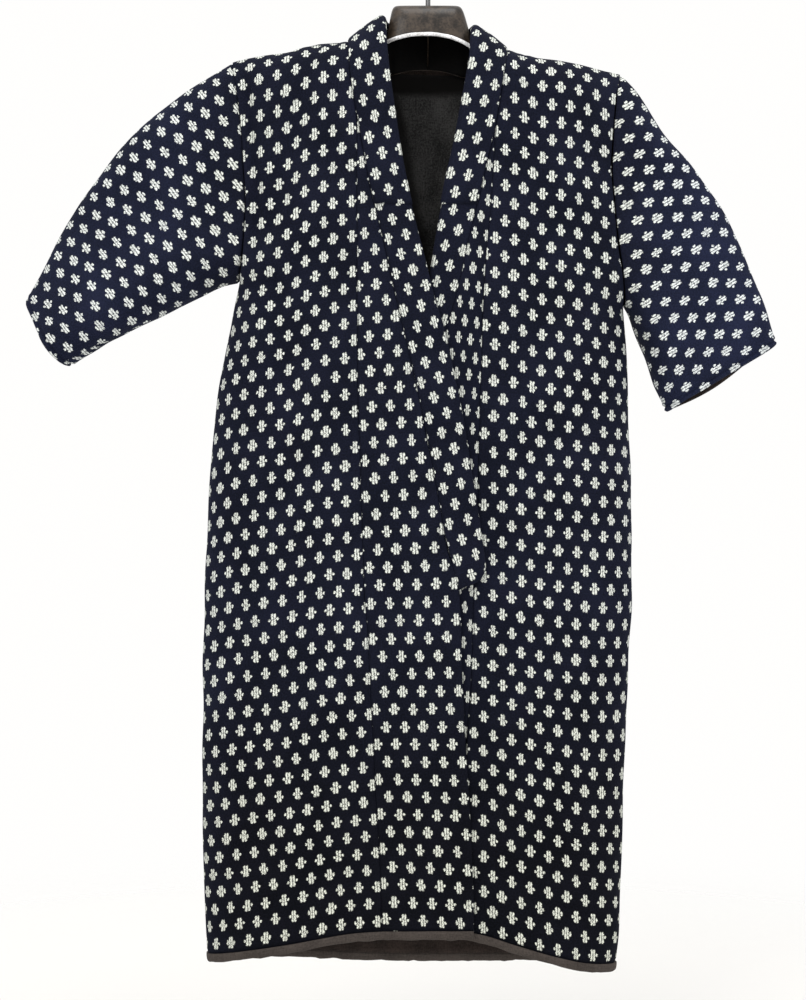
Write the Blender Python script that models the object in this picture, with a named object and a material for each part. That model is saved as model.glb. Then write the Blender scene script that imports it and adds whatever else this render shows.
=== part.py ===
"""Padded winter kimono on a suit hanger: cloth walls, collar, sleeves, hem band, hanger and hook.
Metres, +Z up, +X to the viewer's right, front to -Y. The origin is the inside top of the hook."""
import math

import bpy
import numpy as np

# Driving sizes
WALL = 0.007
SEAM_GAP = 0.0003
SIDE_ROUND = 0.12
TOP_ROUND = 0.05
COLLAR_THICK = 0.009
COLLAR_PROUD = 0.0016
OVER_COLLAR_THICK = 0.0012
LINING_THICK = 0.0015
BAND_HEIGHT = 0.011
LIFT_OVER = 0.0050
SINK_UNDER = 0.0045
ARMHOLE_HALF_DEPTH = 0.030
ARMHOLE_ROUND = 0.05
HANGER_SHELL = 0.0025
HANGER_SKIRT = 0.028
HANGER_GAP = 0.0008
HOOK_WIRE = 0.0030
HOOK_INSIDE = 0.022
NECK_TOP = -0.062

# Rows of the front and the back, as fractions from the shoulder fold to the hem
ROWS = (0, 0.0023, 0.0090, 0.0194, 0.0326, 0.0472, 0.095, 0.135, 0.189, 0.207, 0.2217, 0.2349, 0.2453, 0.2520,
        0.2543, 0.285, 0.335, 0.40, 0.48, 0.56, 0.62, 0.70, 0.80, 0.90, 1.0)
ARMPIT_ROW = 14
OKUMI_ROW = 6
OVER_COLLAR_ROW = 8
COLLAR_END_ROW = 20
# Columns of a front strip, as fractions from the side to the inner edge
COLUMNS = (0, 0.0195, 0.076, 0.167, 0.286, 0.43, 0.60, 0.80, 1.0)
OKUMI_COLUMNS = (0, 0.33, 0.67, 1.0)

# z, left x, right x, front half depth, back half depth
BODY = (
    (-0.120, -0.2352, 0.2335, 0.050, 0.046),
    (-0.136, -0.2328, 0.2310, 0.051, 0.046),
    (-0.176, -0.2268, 0.2235, 0.052, 0.047),
    (-0.218, -0.2220, 0.2196, 0.053, 0.047),
    (-0.260, -0.2196, 0.2176, 0.053, 0.047),
    (-0.304, -0.2172, 0.2206, 0.053, 0.047),
    (-0.348, -0.2196, 0.2250, 0.053, 0.047),
    (-0.400, -0.2268, 0.2318, 0.052, 0.046),
    (-0.460, -0.2400, 0.2358, 0.052, 0.046),
    (-0.540, -0.2544, 0.2400, 0.051, 0.045),
    (-0.640, -0.2620, 0.2440, 0.050, 0.045),
    (-0.740, -0.2670, 0.2448, 0.049, 0.044),
    (-0.860, -0.2698, 0.2398, 0.048, 0.043),
    (-0.980, -0.2700, 0.2350, 0.046, 0.042),
    (-1.100, -0.2695, 0.2312, 0.044, 0.041),
    (-1.160, -0.2676, 0.2298, 0.043, 0.040),
    (-1.215, -0.2640, 0.2250, 0.042, 0.040),
)
# x, z of the shoulder fold, carried on under the collar up to its free edge
RIDGE = (
    (-0.2400, -0.1320), (-0.2328, -0.1285), (-0.1956, -0.1224), (-0.1668, -0.1188), (-0.1476, -0.1116),
    (-0.1284, -0.1068), (-0.1092, -0.1056), (-0.0948, -0.1050), (-0.0528, -0.0744), (-0.0200, -0.0700),
    (0.0200, -0.0740), (0.0536, -0.0860), (0.0936, -0.1152), (0.1116, -0.1188), (0.1308, -0.1255),
    (0.1500, -0.1272), (0.1788, -0.1320), (0.2076, -0.1392), (0.2292, -0.1440), (0.2400, -0.1475),
)
# x, z that the rows start from, without the rise to the neck
ROW_TOP = (
    (-0.2400, -0.1320), (-0.2328, -0.1285), (-0.1956, -0.1224), (-0.1668, -0.1188), (-0.1476, -0.1116),
    (-0.1284, -0.1068), (-0.1092, -0.1056), (-0.0948, -0.1050), (-0.0400, -0.1000), (0.0400, -0.1060),
    (0.0936, -0.1152), (0.1116, -0.1188), (0.1308, -0.1255), (0.1500, -0.1272), (0.1788, -0.1320),
    (0.2076, -0.1392), (0.2292, -0.1440), (0.2400, -0.1475),
)
# x, z of the lower edge of the hem band, for each sheet
HEM_OVER = ((-0.270, -1.2070), (-0.200, -1.1940), (-0.150, -1.1820), (-0.100, -1.1725), (-0.040, -1.1700),
            (0.060, -1.1710))
HEM_UNDER = ((-0.060, -1.1690), (0.000, -1.1700), (0.055, -1.1760), (0.100, -1.1870), (0.150, -1.2000),
             (0.190, -1.2080), (0.230, -1.2140))
HEM_BACK = ((-0.270, -1.2070), (-0.200, -1.2130), (-0.100, -1.2165), (0.000, -1.2170), (0.150, -1.2175),
            (0.230, -1.2140))
# z, x of the collar's seam down to the collar's end, then of the front edge
SEAM_OVER = (
    (-0.1050, -0.0948), (-0.150, -0.0915), (-0.204, -0.0830), (-0.250, -0.0745), (-0.300, -0.0650),
    (-0.352, -0.0523), (-0.420, -0.0375), (-0.474, -0.0245), (-0.522, -0.0136), (-0.604, 0.0028),
    (-0.665, 0.0140), (-0.708, 0.0215), (-0.757, 0.0356), (-0.790, 0.0376), (-0.860, 0.0397),
    (-0.925, 0.0426), (-1.000, 0.0473), (-1.068, 0.0508), (-1.118, 0.0528), (-1.180, 0.0534),
)
SEAM_UNDER = (
    (-0.1152, 0.0936), (-0.143, 0.0895), (-0.185, 0.0825), (-0.219, 0.0770), (-0.259, 0.0672),
    (-0.306, 0.0570), (-0.354, 0.0456), (-0.383, 0.0395), (-0.423, 0.0298), (-0.455, 0.0204),
    (-0.543, 0.0060), (-0.604, -0.0060), (-0.665, -0.0150), (-0.708, -0.0200), (-0.757, -0.0290),
    (-0.790, -0.0305), (-0.925, -0.0360), (-1.000, -0.0390), (-1.180, -0.0464),
)
# z, x of the collar's free edge
FREE_OVER = (
    (-0.0744, -0.0540), (-0.120, -0.0500), (-0.157, -0.0458), (-0.194, -0.0406), (-0.238, -0.0340),
    (-0.284, -0.0253), (-0.325, -0.0155), (-0.3845, -0.0010), (-0.4173, 0.0070), (-0.455, 0.0190),
    (-0.511, 0.0312), (-0.559, 0.0410), (-0.612, 0.0492), (-0.654, 0.0562), (-0.715, 0.0650),
    (-0.757, 0.0700),
)
FREE_UNDER = (
    (-0.0860, 0.0548), (-0.108, 0.0517), (-0.130, 0.0495), (-0.156, 0.0450), (-0.194, 0.0380),
    (-0.232, 0.0310), (-0.277, 0.0207), (-0.326, 0.0115), (-0.361, 0.0050), (-0.402, -0.0015),
    (-0.455, -0.0136), (-0.511, -0.0241), (-0.559, -0.0347), (-0.612, -0.0429), (-0.654, -0.0495),
    (-0.715, -0.0590), (-0.757, -0.0640),
)
# depth below the shoulder fold, how much higher the free edge lies than the seam beside it
FREE_RISE = ((0, 0.0306), (0.028, 0.0265), (0.043, 0.0215), (0.064, 0.0155), (0.086, 0.0115), (0.102, 0.0085),
             (0.132, 0.005), (0.17, 0.001), (0.20, 0.0), (2.0, 0.0))
# share of the way from the last but one row to the last, free edge x, z
END_OVER = ((0.35, 0.0655, -0.7160), (0.60, 0.0672, -0.7320), (0.80, 0.0635, -0.7435), (0.93, 0.0550, -0.7515),
            (1.00, 0.0440, -0.7565))
END_UNDER = ((0.35, -0.0587, -0.7160), (0.60, -0.0604, -0.7320), (0.80, -0.0567, -0.7435),
             (0.93, -0.0482, -0.7515), (1.00, -0.0372, -0.7565))
# z, x of the seam between body and okumi
OKUMI_OVER = ((-0.190, -0.0842), (-0.490, -0.0832), (-0.615, -0.0804), (-0.734, -0.0765), (-0.840, -0.0700),
              (-0.960, -0.0642), (-1.084, -0.0572), (-1.180, -0.0540))
OKUMI_UNDER = ((-0.210, 0.0785), (-0.300, 0.0740), (-0.360, 0.0680), (-0.455, 0.0630), (-0.540, 0.0602),
               (-0.654, 0.0575), (-0.760, 0.0535), (-0.860, 0.0503), (-0.943, 0.0445), (-1.180, 0.0330))
# z, outermost edge of the under sheet, outermost edge of the over sheet
OVERLAP = ((-0.30, 0.016, -0.020), (-0.36, 0.004, -0.004), (-0.42, -0.006, 0.010), (-0.51, -0.026, 0.033),
           (-0.61, -0.045, 0.051), (-0.70, -0.059, 0.065), (-0.757, -0.064, 0.070), (-0.82, -0.056, 0.063),
           (-0.92, -0.046, 0.056), (-1.22, -0.052, 0.060))
# collar behind the neck, left to right: seam x, y, z, free edge x, y, z
NECK = (
    (-0.0900, 0.0220, -0.1075, -0.0505, 0.022, -0.0750),
    (-0.0700, 0.0400, -0.1105, -0.0400, 0.036, -0.0765),
    (-0.0370, 0.0480, -0.1135, -0.0215, 0.043, -0.0780),
    (-0.0040, 0.0500, -0.1145, -0.0030, 0.045, -0.0790),
    (0.0300, 0.0480, -0.1155, 0.0170, 0.043, -0.0800),
    (0.0650, 0.0400, -0.1160, 0.0370, 0.036, -0.0825),
    (0.0870, 0.0220, -0.1160, 0.0490, 0.022, -0.0850),
)
NECK_HALF = 4
# z, x of the centre back seam
CENTRE_BACK = ((-0.1145, -0.0040), (-1.220, -0.0095))
# way along the sleeve, top x, y, z, bottom x, y, z, half depth, rounding of its two folds
SLEEVE_OVER = (
    (0.00, -0.2334, 0.000, -0.1289, -0.2258, 0.000, -0.3940, 0.030, 0.050),
    (0.10, -0.2560, 0.000, -0.1420, -0.2450, 0.000, -0.3985, 0.034, 0.050),
    (0.25, -0.3090, 0.006, -0.1780, -0.2750, -0.006, -0.4130, 0.036, 0.050),
    (0.42, -0.3560, 0.012, -0.2160, -0.3090, -0.012, -0.4290, 0.037, 0.046),
    (0.58, -0.3900, 0.018, -0.2580, -0.3420, -0.020, -0.4460, 0.036, 0.042),
    (0.74, -0.4210, 0.024, -0.3050, -0.3760, -0.028, -0.4630, 0.033, 0.038),
    (0.88, -0.4510, 0.030, -0.3600, -0.4060, -0.034, -0.4790, 0.030, 0.035),
    (1.00, -0.4780, 0.034, -0.4170, -0.4350, -0.038, -0.4930, 0.027, 0.032),
)
SLEEVE_UNDER = (
    (0.00, 0.2299, 0.000, -0.1445, 0.2340, 0.000, -0.4225, 0.030, 0.050),
    (0.10, 0.2500, 0.000, -0.1650, 0.2420, 0.000, -0.4360, 0.034, 0.050),
    (0.25, 0.2870, 0.000, -0.2200, 0.2510, 0.000, -0.4600, 0.036, 0.048),
    (0.42, 0.3230, 0.000, -0.2640, 0.2610, 0.000, -0.4870, 0.036, 0.044),
    (0.58, 0.3560, 0.000, -0.3120, 0.2690, 0.000, -0.5090, 0.034, 0.040),
    (0.74, 0.3810, 0.000, -0.3680, 0.2755, 0.000, -0.5260, 0.030, 0.036),
    (0.88, 0.4030, 0.000, -0.4200, 0.2810, 0.000, -0.5390, 0.026, 0.031),
    (1.00, 0.4200, 0.000, -0.4680, 0.2860, 0.000, -0.5490, 0.022, 0.026),
)
SLEEVE_RINGS = 9
# x along the hanger's neck, front rim z, rear rim z
NECK_RIMS = ((-0.0480, -0.1120, -0.1390), (-0.0340, -0.1075, -0.1345), (-0.0180, -0.1038, -0.1322),
             (0.0000, -0.1030, -0.1320), (0.0180, -0.1055, -0.1350), (0.0350, -0.1120, -0.1385),
             (0.0480, -0.1190, -0.1400))
# y, z of the hanger's neck between its rims
NECK_SECTION = ((-0.0290, -0.0960), (-0.0272, -0.0800), (-0.0230, -0.0690), (-0.0140, -0.0636), (0.0, NECK_TOP),
                (0.0140, -0.0636), (0.0235, -0.0700), (0.0280, -0.0850), (0.0298, -0.1080))
# x of the hanger's stations between arm and neck, and how far they dip below the arm
ARM_TO_NECK = (0.078, 0.063, 0.0525)
NECK_DIP = ((0.0525, 0.004), (0.063, 0.005), (0.078, 0.003), (0.095, 0.0))
HANGER_END_COLUMN = 2
FOUND_TOPS = {}


def clear_scene():
    for item in list(bpy.data.objects):
        bpy.data.objects.remove(item, do_unlink=True)


def value(table, at, column=1):
    """Smooth value of a table's column at a key of its first column, without overshoot."""
    rows = sorted(table)
    keys = [row[0] for row in rows]
    values = [row[column] for row in rows]
    if at <= keys[0]:
        return values[0] + (at - keys[0]) * (values[1] - values[0]) / (keys[1] - keys[0])
    if at >= keys[-1]:
        return values[-1] + (at - keys[-1]) * (values[-1] - values[-2]) / (keys[-1] - keys[-2])
    slopes = [(values[i + 1] - values[i]) / (keys[i + 1] - keys[i]) for i in range(len(keys) - 1)]
    index = max(i for i in range(len(keys) - 1) if keys[i] <= at)
    ends = []
    for i in (index, index + 1):
        if i == 0:
            ends.append(slopes[0])
        elif i == len(keys) - 1:
            ends.append(slopes[-1])
        elif slopes[i - 1] * slopes[i] <= 0:
            ends.append(0.0)
        else:
            ends.append(2 * slopes[i - 1] * slopes[i] / (slopes[i - 1] + slopes[i]))
    step = keys[index + 1] - keys[index]
    t = (at - keys[index]) / step
    return ((2 * t ** 3 - 3 * t ** 2 + 1) * values[index] + (t ** 3 - 2 * t ** 2 + t) * step * ends[0]
            + (3 * t ** 2 - 2 * t ** 3) * values[index + 1] + (t ** 3 - t ** 2) * step * ends[1])


def smooth(t):
    t = min(max(t, 0.0), 1.0)
    return t * t * (3 - 2 * t)


def arc(t):
    t = min(max(t, 0.0), 1.0)
    return math.sqrt(1 - (1 - t) ** 2)


def unit(vector):
    vector = np.asarray(vector, float)
    return vector / np.linalg.norm(vector)


def mix(first, second, t):
    return first + (second - first) * t


def edge_x(z, side):
    return value(BODY, z, 1 if side < 0 else 2)


def armhole(side):
    """z of the armhole's top and bottom."""
    table = SLEEVE_OVER if side < 0 else SLEEVE_UNDER
    if side not in FOUND_TOPS:
        z = table[0][3]
        for _ in range(12):
            z = value(ROW_TOP, edge_x(z, side))
        FOUND_TOPS[side] = z
    return FOUND_TOPS[side], table[0][6]


def armhole_depth(below, z, side):
    """Half depth at the armhole, so far below the shoulder fold."""
    bottom = armhole(side)[1]
    return ARMHOLE_HALF_DEPTH * arc(below / ARMHOLE_ROUND) * arc((z - bottom) / ARMHOLE_ROUND)


def half_depth(x, z, back):
    """How far the body's outer face lies before or behind the middle plane."""
    left = x - edge_x(z, -1)
    right = edge_x(z, 1) - x
    side = -1 if left < right else 1
    near = max(min(left, right), 0.0) / SIDE_ROUND
    below = value(RIDGE, x) - z
    full = value(BODY, z, 4 if back else 3) * arc(below / TOP_ROUND)
    at_edge = armhole_depth(below, z, side)
    top, bottom = armhole(side)
    soft = smooth((z - bottom) / 0.09)
    rise = mix(arc(near), math.sin(math.pi / 2 * min(near, 1.0)), soft)
    return at_edge + (full - at_edge) * rise


def layer(x, z, sheet):
    """How far the over sheet is lifted, or the under sheet sunk, where they lie on each other."""
    down = smooth((-0.31 - z) / 0.065)
    if sheet == "over":
        return LIFT_OVER * down * smooth((x - value(OVERLAP, z, 1) + 0.045) / 0.040)
    if sheet == "under":
        return -SINK_UNDER * down * smooth((value(OVERLAP, z, 2) + 0.045 - x) / 0.040)
    return 0.0


def face_y(x, z, sheet):
    if sheet == "back":
        return half_depth(x, z, True)
    return -half_depth(x, z, False) - layer(x, z, sheet)


def face_normal(x, z, sheet):
    """Outward normal of a sheet's outer face."""
    step = 0.0008
    left, right = edge_x(z, -1), edge_x(z, 1)
    x = min(max(x, left + 2.2 * step), right - 2.2 * step)
    z = min(z, value(RIDGE, x) - 1.2 * step)
    along = (face_y(x + step, z, sheet) - face_y(x - step, z, sheet)) / (2 * step)
    up = (face_y(x, z + step, sheet) - face_y(x, z - step, sheet)) / (2 * step)
    return unit((along, -1, up)) if sheet != "back" else unit((-along, 1, -up))


def hem_z(x, sheet):
    table = {"over": HEM_OVER, "under": HEM_UNDER, "back": HEM_BACK}[sheet]
    return value(table, x) + BAND_HEIGHT


def row_shift(fraction, side, inward):
    """Moves the armpit row of a side to its own height, fading towards the inner edge."""
    top, bottom = armhole(side)
    x = edge_x(bottom, side)
    sheet = "over" if side < 0 else "under"
    own = (value(ROW_TOP, x) - bottom) / (value(ROW_TOP, x) - hem_z(x, sheet))
    shared = ROWS[ARMPIT_ROW]
    hat = fraction / shared if fraction < shared else max(0.0, (0.62 - fraction) / (0.62 - shared))
    return (own - shared) * hat * (1 - inward) ** 2


def row_z(fraction, x, sheet, side, inward):
    fraction = fraction + row_shift(fraction, side, inward)
    top = value(ROW_TOP, x)
    hem = hem_z(x, "over" if side < 0 else "under")
    if sheet == "back":
        hem = mix(hem, hem_z(x, "back"), smooth(3 * inward))
    return top - fraction * (top - hem)


def on_line(line, fraction, sheet, side, inward):
    """Where a line x(z) meets a row."""
    x = line(-0.3)
    z = -0.3
    for _ in range(12):
        z = row_z(fraction, x, sheet, side, inward)
        x = line(z)
    return x, z


def collar_seam(sheet):
    table = SEAM_OVER if sheet == "over" else SEAM_UNDER
    return lambda z: value(table, z)


def okumi_seam(sheet):
    table = OKUMI_OVER if sheet == "over" else OKUMI_UNDER
    if sheet == "over":
        return lambda z: min(value(table, z), value(SEAM_OVER, z) - 0.0008)
    return lambda z: max(value(table, z), value(SEAM_UNDER, z) + 0.0008)


def sides_of(sheet):
    return -1 if sheet == "over" else 1


def seam_points(sheet):
    """The collar's seam at each row of the front, from the shoulder down, then the front edge."""
    side = sides_of(sheet)
    points = []
    for fraction in ROWS:
        x, z = on_line(collar_seam(sheet), fraction, sheet, side, 1.0)
        points.append(np.array((x, face_y(x, z, sheet), z)))
    points[0][1] = 0.0
    return points


def free_points(sheet, seam):
    """The collar's free edge beside each seam point."""
    table = FREE_OVER if sheet == "over" else FREE_UNDER
    points = []
    for point in seam[:COLLAR_END_ROW]:
        z = point[2] + value(FREE_RISE, seam[0][2] - point[2])
        x = value(table, z)
        points.append(np.array((x, face_y(x, z, sheet), z)))
    points[0][1] = 0.0
    return points


def collar_stations():
    """Seam and free edge points from the over collar's end, round the neck, to the under collar's end."""
    stations = []
    for sheet, end in (("over", END_OVER), ("under", END_UNDER)):
        seam = seam_points(sheet)
        free = free_points(sheet, seam)
        part = [(seam[i], free[i], i, sheet) for i in range(COLLAR_END_ROW)]
        for share, x, z in end:
            point = mix(seam[COLLAR_END_ROW - 1], seam[COLLAR_END_ROW], share)
            part.append((point, np.array((x, face_y(x, z, sheet), z)), COLLAR_END_ROW - 1 + share, sheet))
        if sheet == "over":
            stations = part[::-1]
            for x, y, z, free_x, free_y, free_z in NECK:
                stations.append((np.array((x, y, z)), np.array((free_x, free_y, free_z)), 0, "back"))
        else:
            stations += part
    return stations


def collar_frames(stations):
    """Across and outward directions at each station."""
    frames = []
    for i, (seam, free, _, _) in enumerate(stations):
        before = stations[max(i - 1, 0)]
        after = stations[min(i + 1, len(stations) - 1)]
        tangent = unit(after[0] + after[1] - before[0] - before[1])
        across = unit(free - seam)
        frames.append((across, unit(np.cross(across, tangent))))
    return frames


def make_material(name, colour, roughness, metallic=0.0):
    material = bpy.data.materials.new(name)
    material.use_nodes = True
    shader = material.node_tree.nodes["Principled BSDF"]
    shader.inputs["Base Color"].default_value = (*colour, 1.0)
    shader.inputs["Roughness"].default_value = roughness
    shader.inputs["Metallic"].default_value = metallic
    return material


def add_object(name, points, faces, colour, roughness=0.9, metallic=0.0):
    """A closed mesh, turned so that its faces point outwards."""
    points = np.array(points, float)
    volume = 0.0
    for face in faces:
        for i in range(1, len(face) - 1):
            a, b, c = points[face[0]], points[face[i]], points[face[i + 1]]
            volume += np.dot(a, np.cross(b, c))
    if volume < 0:
        faces = [tuple(reversed(face)) for face in faces]
    mesh = bpy.data.meshes.new(name)
    mesh.from_pydata(points.tolist(), [], faces)
    mesh.materials.append(make_material(name, colour, roughness, metallic))
    item = bpy.data.objects.new(name, mesh)
    bpy.data.collections["padded_kimono"].objects.link(item)
    return item


def highest(corners):
    """The corner that the diagonal starts from, the same one in a piece and in what lies along it."""
    keys = [corner[2] + 0.37 * abs(corner[0] + 0.006) for corner in corners]
    return keys.index(max(keys))


def grid_wall(outer, inner, mask=None, closed=False):
    """Points and faces of a wall between two grids, with a rim wherever the masked cells end."""
    rows, columns = outer.shape[:2]
    spans = columns if closed else columns - 1
    if mask is None:
        mask = np.ones((rows - 1, spans), bool)
    index = {}
    points = []

    def vertex(face, r, c):
        key = (face, r, c % columns)
        if key not in index:
            index[key] = len(points)
            points.append((outer if face == 0 else inner)[r, c % columns])
        return index[key]

    def filled(r, c):
        if closed:
            c %= columns
        return 0 <= r < rows - 1 and 0 <= c < spans and mask[r, c]

    faces = []
    for r in range(rows - 1):
        for c in range(spans):
            if not mask[r, c]:
                continue
            corners = ((r, c), (r, c + 1), (r + 1, c + 1), (r + 1, c))
            first = highest([outer[i, j % columns] for i, j in corners])
            around = [corners[(first + i) % 4] for i in range(4)]
            for pick in ((0, 1, 2), (0, 2, 3)):
                faces.append(tuple(vertex(0, *around[i]) for i in pick))
                faces.append(tuple(vertex(1, *around[i]) for i in reversed(pick)))
            beyond = ((r - 1, c), (r, c + 1), (r + 1, c), (r, c - 1))
            for i in range(4):
                if not filled(*beyond[i]):
                    a, b = corners[i], corners[(i + 1) % 4]
                    rim = [vertex(0, *b), vertex(0, *a), vertex(1, *a), vertex(1, *b)]
                    first = highest([points[i] for i in rim])
                    rim = rim[first:] + rim[:first]
                    faces.append(tuple(rim[:3]))
                    faces.append((rim[0], rim[2], rim[3]))
    return points, faces


def swept(loops):
    """A closed solid through loops of points, with flat ends."""
    count = len(loops[0])
    points = [point for loop in loops for point in loop]
    faces = [tuple(range(count))[::-1]]
    faces.append(tuple(range((len(loops) - 1) * count, len(loops) * count)))
    for r in range(len(loops) - 1):
        for c in range(count):
            a, b = r * count + c, r * count + (c + 1) % count
            corners = [a, b, b + count, a + count]
            first = highest([points[i] for i in corners])
            corners = corners[first:] + corners[:first]
            faces.append(tuple(corners[:3]))
            faces.append((corners[0], corners[2], corners[3]))
    return points, faces


def sleeve_grid(side):
    """Outer points of a sleeve: rings from the armhole to the cuff, each from the top fold round the front."""
    table = SLEEVE_OVER if side < 0 else SLEEVE_UNDER
    sheet = "over" if side < 0 else "under"
    edge = []
    for fraction in ROWS[:ARMPIT_ROW + 1]:
        x, z = on_line(lambda height: edge_x(height, side), fraction, sheet, side, 0.0)
        edge.append((x, z))
    top_z, bottom_z = edge[0][1], edge[-1][1]
    rings = []
    for ring in range(SLEEVE_RINGS + 1):
        s = ring / SLEEVE_RINGS
        top = np.array([value(table, s, c) for c in (1, 2, 3)])
        bottom = np.array([value(table, s, c) for c in (4, 5, 6)])
        depth, rounding = value(table, s, 7), value(table, s, 8)
        ahead = min(s + 0.02, 1.0)
        axis = sum(np.array([value(table, ahead, c) - value(table, ahead - 0.04, c) for c in cs])
                   for cs in ((1, 2, 3), (4, 5, 6)))
        front = unit(np.cross(bottom - top, axis)) * side
        front = unit(mix(np.array((0.0, -1.0, 0.0)), front, smooth(s / 0.3)))
        length = np.linalg.norm(bottom - top)
        loop = []
        for way in (1, -1):
            order = range(ARMPIT_ROW + 1) if way == 1 else range(ARMPIT_ROW - 1, 0, -1)
            for i in order:
                g = (top_z - edge[i][1]) / (top_z - bottom_z)
                point = mix(top, bottom, g)
                point[0] += (edge[i][0] - mix(edge[0][0], edge[-1][0], g)) * (1 - s) ** 2
                lens = arc(g * length / rounding) * arc((1 - g) * length / rounding)
                point = point + front * way * depth * lens
                if ring == 0:
                    point = np.array((edge[i][0], -way * armhole_depth(top_z - edge[i][1], edge[i][1], side), edge[i][1]))
                loop.append(point)
        rings.append(loop)
    return np.array(rings)


def grid_normals(points, closed):
    """Outward normals of a grid by its neighbours; the rings run outwards, the loop starts down the front."""
    if closed:
        around = np.roll(points, -1, axis=1) - np.roll(points, 1, axis=1)
    else:
        around = np.gradient(points, axis=1)
    along = np.gradient(points, axis=0)
    normals = np.cross(around, along)
    return normals / np.linalg.norm(normals, axis=2, keepdims=True)


def build_sleeve(name, side, colour):
    """Adds a sleeve and gives the seam normals that the body shares at the armhole."""
    points = sleeve_grid(side)
    normals = grid_normals(points, True)
    if normals[3, 3, 1] > 0:
        normals = -normals
    shared = []
    count = 2 * ARMPIT_ROW
    for i in range(count):
        point = points[0, i]
        sheet = ("over" if side < 0 else "under") if i <= ARMPIT_ROW else "back"
        if i == ARMPIT_ROW:
            body = np.array((float(side), 0.0, 0.0))
        elif i == 0:
            body = np.array((0.0, 0.0, 1.0))
        else:
            body = face_normal(point[0] - side * 0.003, point[2], sheet)
        total = unit(body + normals[0, i])
        shared.append(total / max(np.dot(total, body), 0.80))
    normals[0] = shared
    outer = points.copy()
    outer[0, :, 0] += side * SEAM_GAP / 2
    inner = points - normals * WALL
    inner[0, :, 0] += side * SEAM_GAP / 2
    add_object(name, *grid_wall(outer, inner, closed=True), colour)
    return shared


def build_strip(name, sheet, colour, armhole_normals, frames, stations):
    """Adds one body strip: the front, over the shoulder, the back to the centre seam."""
    side = sides_of(sheet)
    last = len(ROWS) - 1
    half = len(COLUMNS) - 1
    columns = len(COLUMNS) + NECK_HALF
    neck = NECK[:NECK_HALF] if side < 0 else NECK[NECK_HALF - 1:][::-1]
    outer = np.zeros((2 * last + 1, columns, 3))
    normals = np.zeros_like(outer)
    seam = seam_points(sheet)
    top = on_line(lambda z: edge_x(z, side), 0.0, sheet, side, 0.0)
    centre_top = CENTRE_BACK[0][1]
    shares = [(seam[0][0] - top[0]) / (centre_top - top[0]) * c for c in COLUMNS]
    shares += [(row[0] - top[0]) / (centre_top - top[0]) for row in neck]
    collar_normal = {}
    for (point, _, row, where), (_, normal) in zip(stations, frames):
        key = (where, row) if where != "back" else (where, round(point[0], 4))
        collar_normal[key] = normal
    for r, fraction in enumerate(ROWS):
        edge = on_line(lambda z: edge_x(z, side), fraction, sheet, side, 0.0)
        line = collar_seam(sheet) if r < OKUMI_ROW else okumi_seam(sheet)
        inside = on_line(line, fraction, sheet, side, 1.0)
        for c, share in enumerate(COLUMNS):
            x = mix(edge[0], inside[0], share)
            z = row_z(fraction, x, sheet, side, share)
            y = min(face_y(x, z, sheet), -SEAM_GAP / 2)
            normal = face_normal(x, z, sheet)
            if r == 0:
                y = 0.0
                slope = (value(RIDGE, x + 0.002) - value(RIDGE, x - 0.002)) / 0.004
                normal = unit((-slope, 0.0, 1.0)) if share < 1 else unit((-0.1 * side, 0.0, 1.0))
            if c == 0 and r >= ARMPIT_ROW:
                normal = np.array((float(side), 0.0, 0.0))
                y = -SEAM_GAP / 2
            if c == 0 and r <= ARMPIT_ROW:
                normal = armhole_normals[r]
            if c == half and r < OKUMI_ROW:
                normal = unit(normal + collar_normal[(sheet, r)])
            outer[last - r, c] = (x, y, z)
            normals[last - r, c] = normal
        for c, share in enumerate(shares):
            if r == 0 and c <= half:
                continue
            if c <= half:
                wide = mix(edge[0], value(CENTRE_BACK, edge[1]), share)
                inward = share / shares[half]
                z = row_z(fraction, wide, "back", side, inward)
                x = mix(edge_x(z, side) if inward < 0.5 else edge[0], value(CENTRE_BACK, z), share)
                y = face_y(x, z, "back")
                normal = face_normal(x, z, "back")
            else:
                start = np.array(neck[c - half - 1][:3])
                z = mix(start[2], hem_z(start[0], "back"), fraction)
                edge_here = edge_x(z, side)
                x = mix(edge_here, value(CENTRE_BACK, z), share)
                x += (start[0] - mix(top[0], centre_top, share)) * (1 - fraction)
                if fraction == 0:
                    x = start[0]
                fade = max(0.0, 1 - (start[2] - z) / 0.08) ** 2
                y = face_y(x, z, "back") + (start[1] - face_y(start[0], start[2], "back")) * fade
                normal = face_normal(x, z, "back")
                if r == 0:
                    y = start[1]
                    normal = unit(normal + collar_normal[("back", round(start[0], 4))])
            y = max(y, SEAM_GAP / 2)
            if c == 0 and r >= ARMPIT_ROW:
                normal = np.array((float(side), 0.0, 0.0))
                y = SEAM_GAP / 2
            if c == 0 and r < ARMPIT_ROW:
                normal = armhole_normals[2 * ARMPIT_ROW - r]
            if c == 0 and r == ARMPIT_ROW:
                normal = armhole_normals[r]
            outer[last + r, c] = (x, y, z)
            normals[last + r, c] = normal
    mask = np.ones((2 * last, columns - 1), bool)
    mask[:last, half:] = False
    inner = outer - normals * WALL
    for grid in (outer, inner):
        for r in range(2 * last + 1):
            if abs(r - last) <= ARMPIT_ROW:
                grid[r, 0, 0] -= side * SEAM_GAP / 2
        grid[:last + 1, half, 0] += side * SEAM_GAP / 2
        grid[last, half:, 2] -= SEAM_GAP
        grid[last + 1:, columns - 1, 0] += side * SEAM_GAP / 2
    add_object(name, *grid_wall(outer, inner, mask), colour)
    return outer, inner, normals


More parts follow.
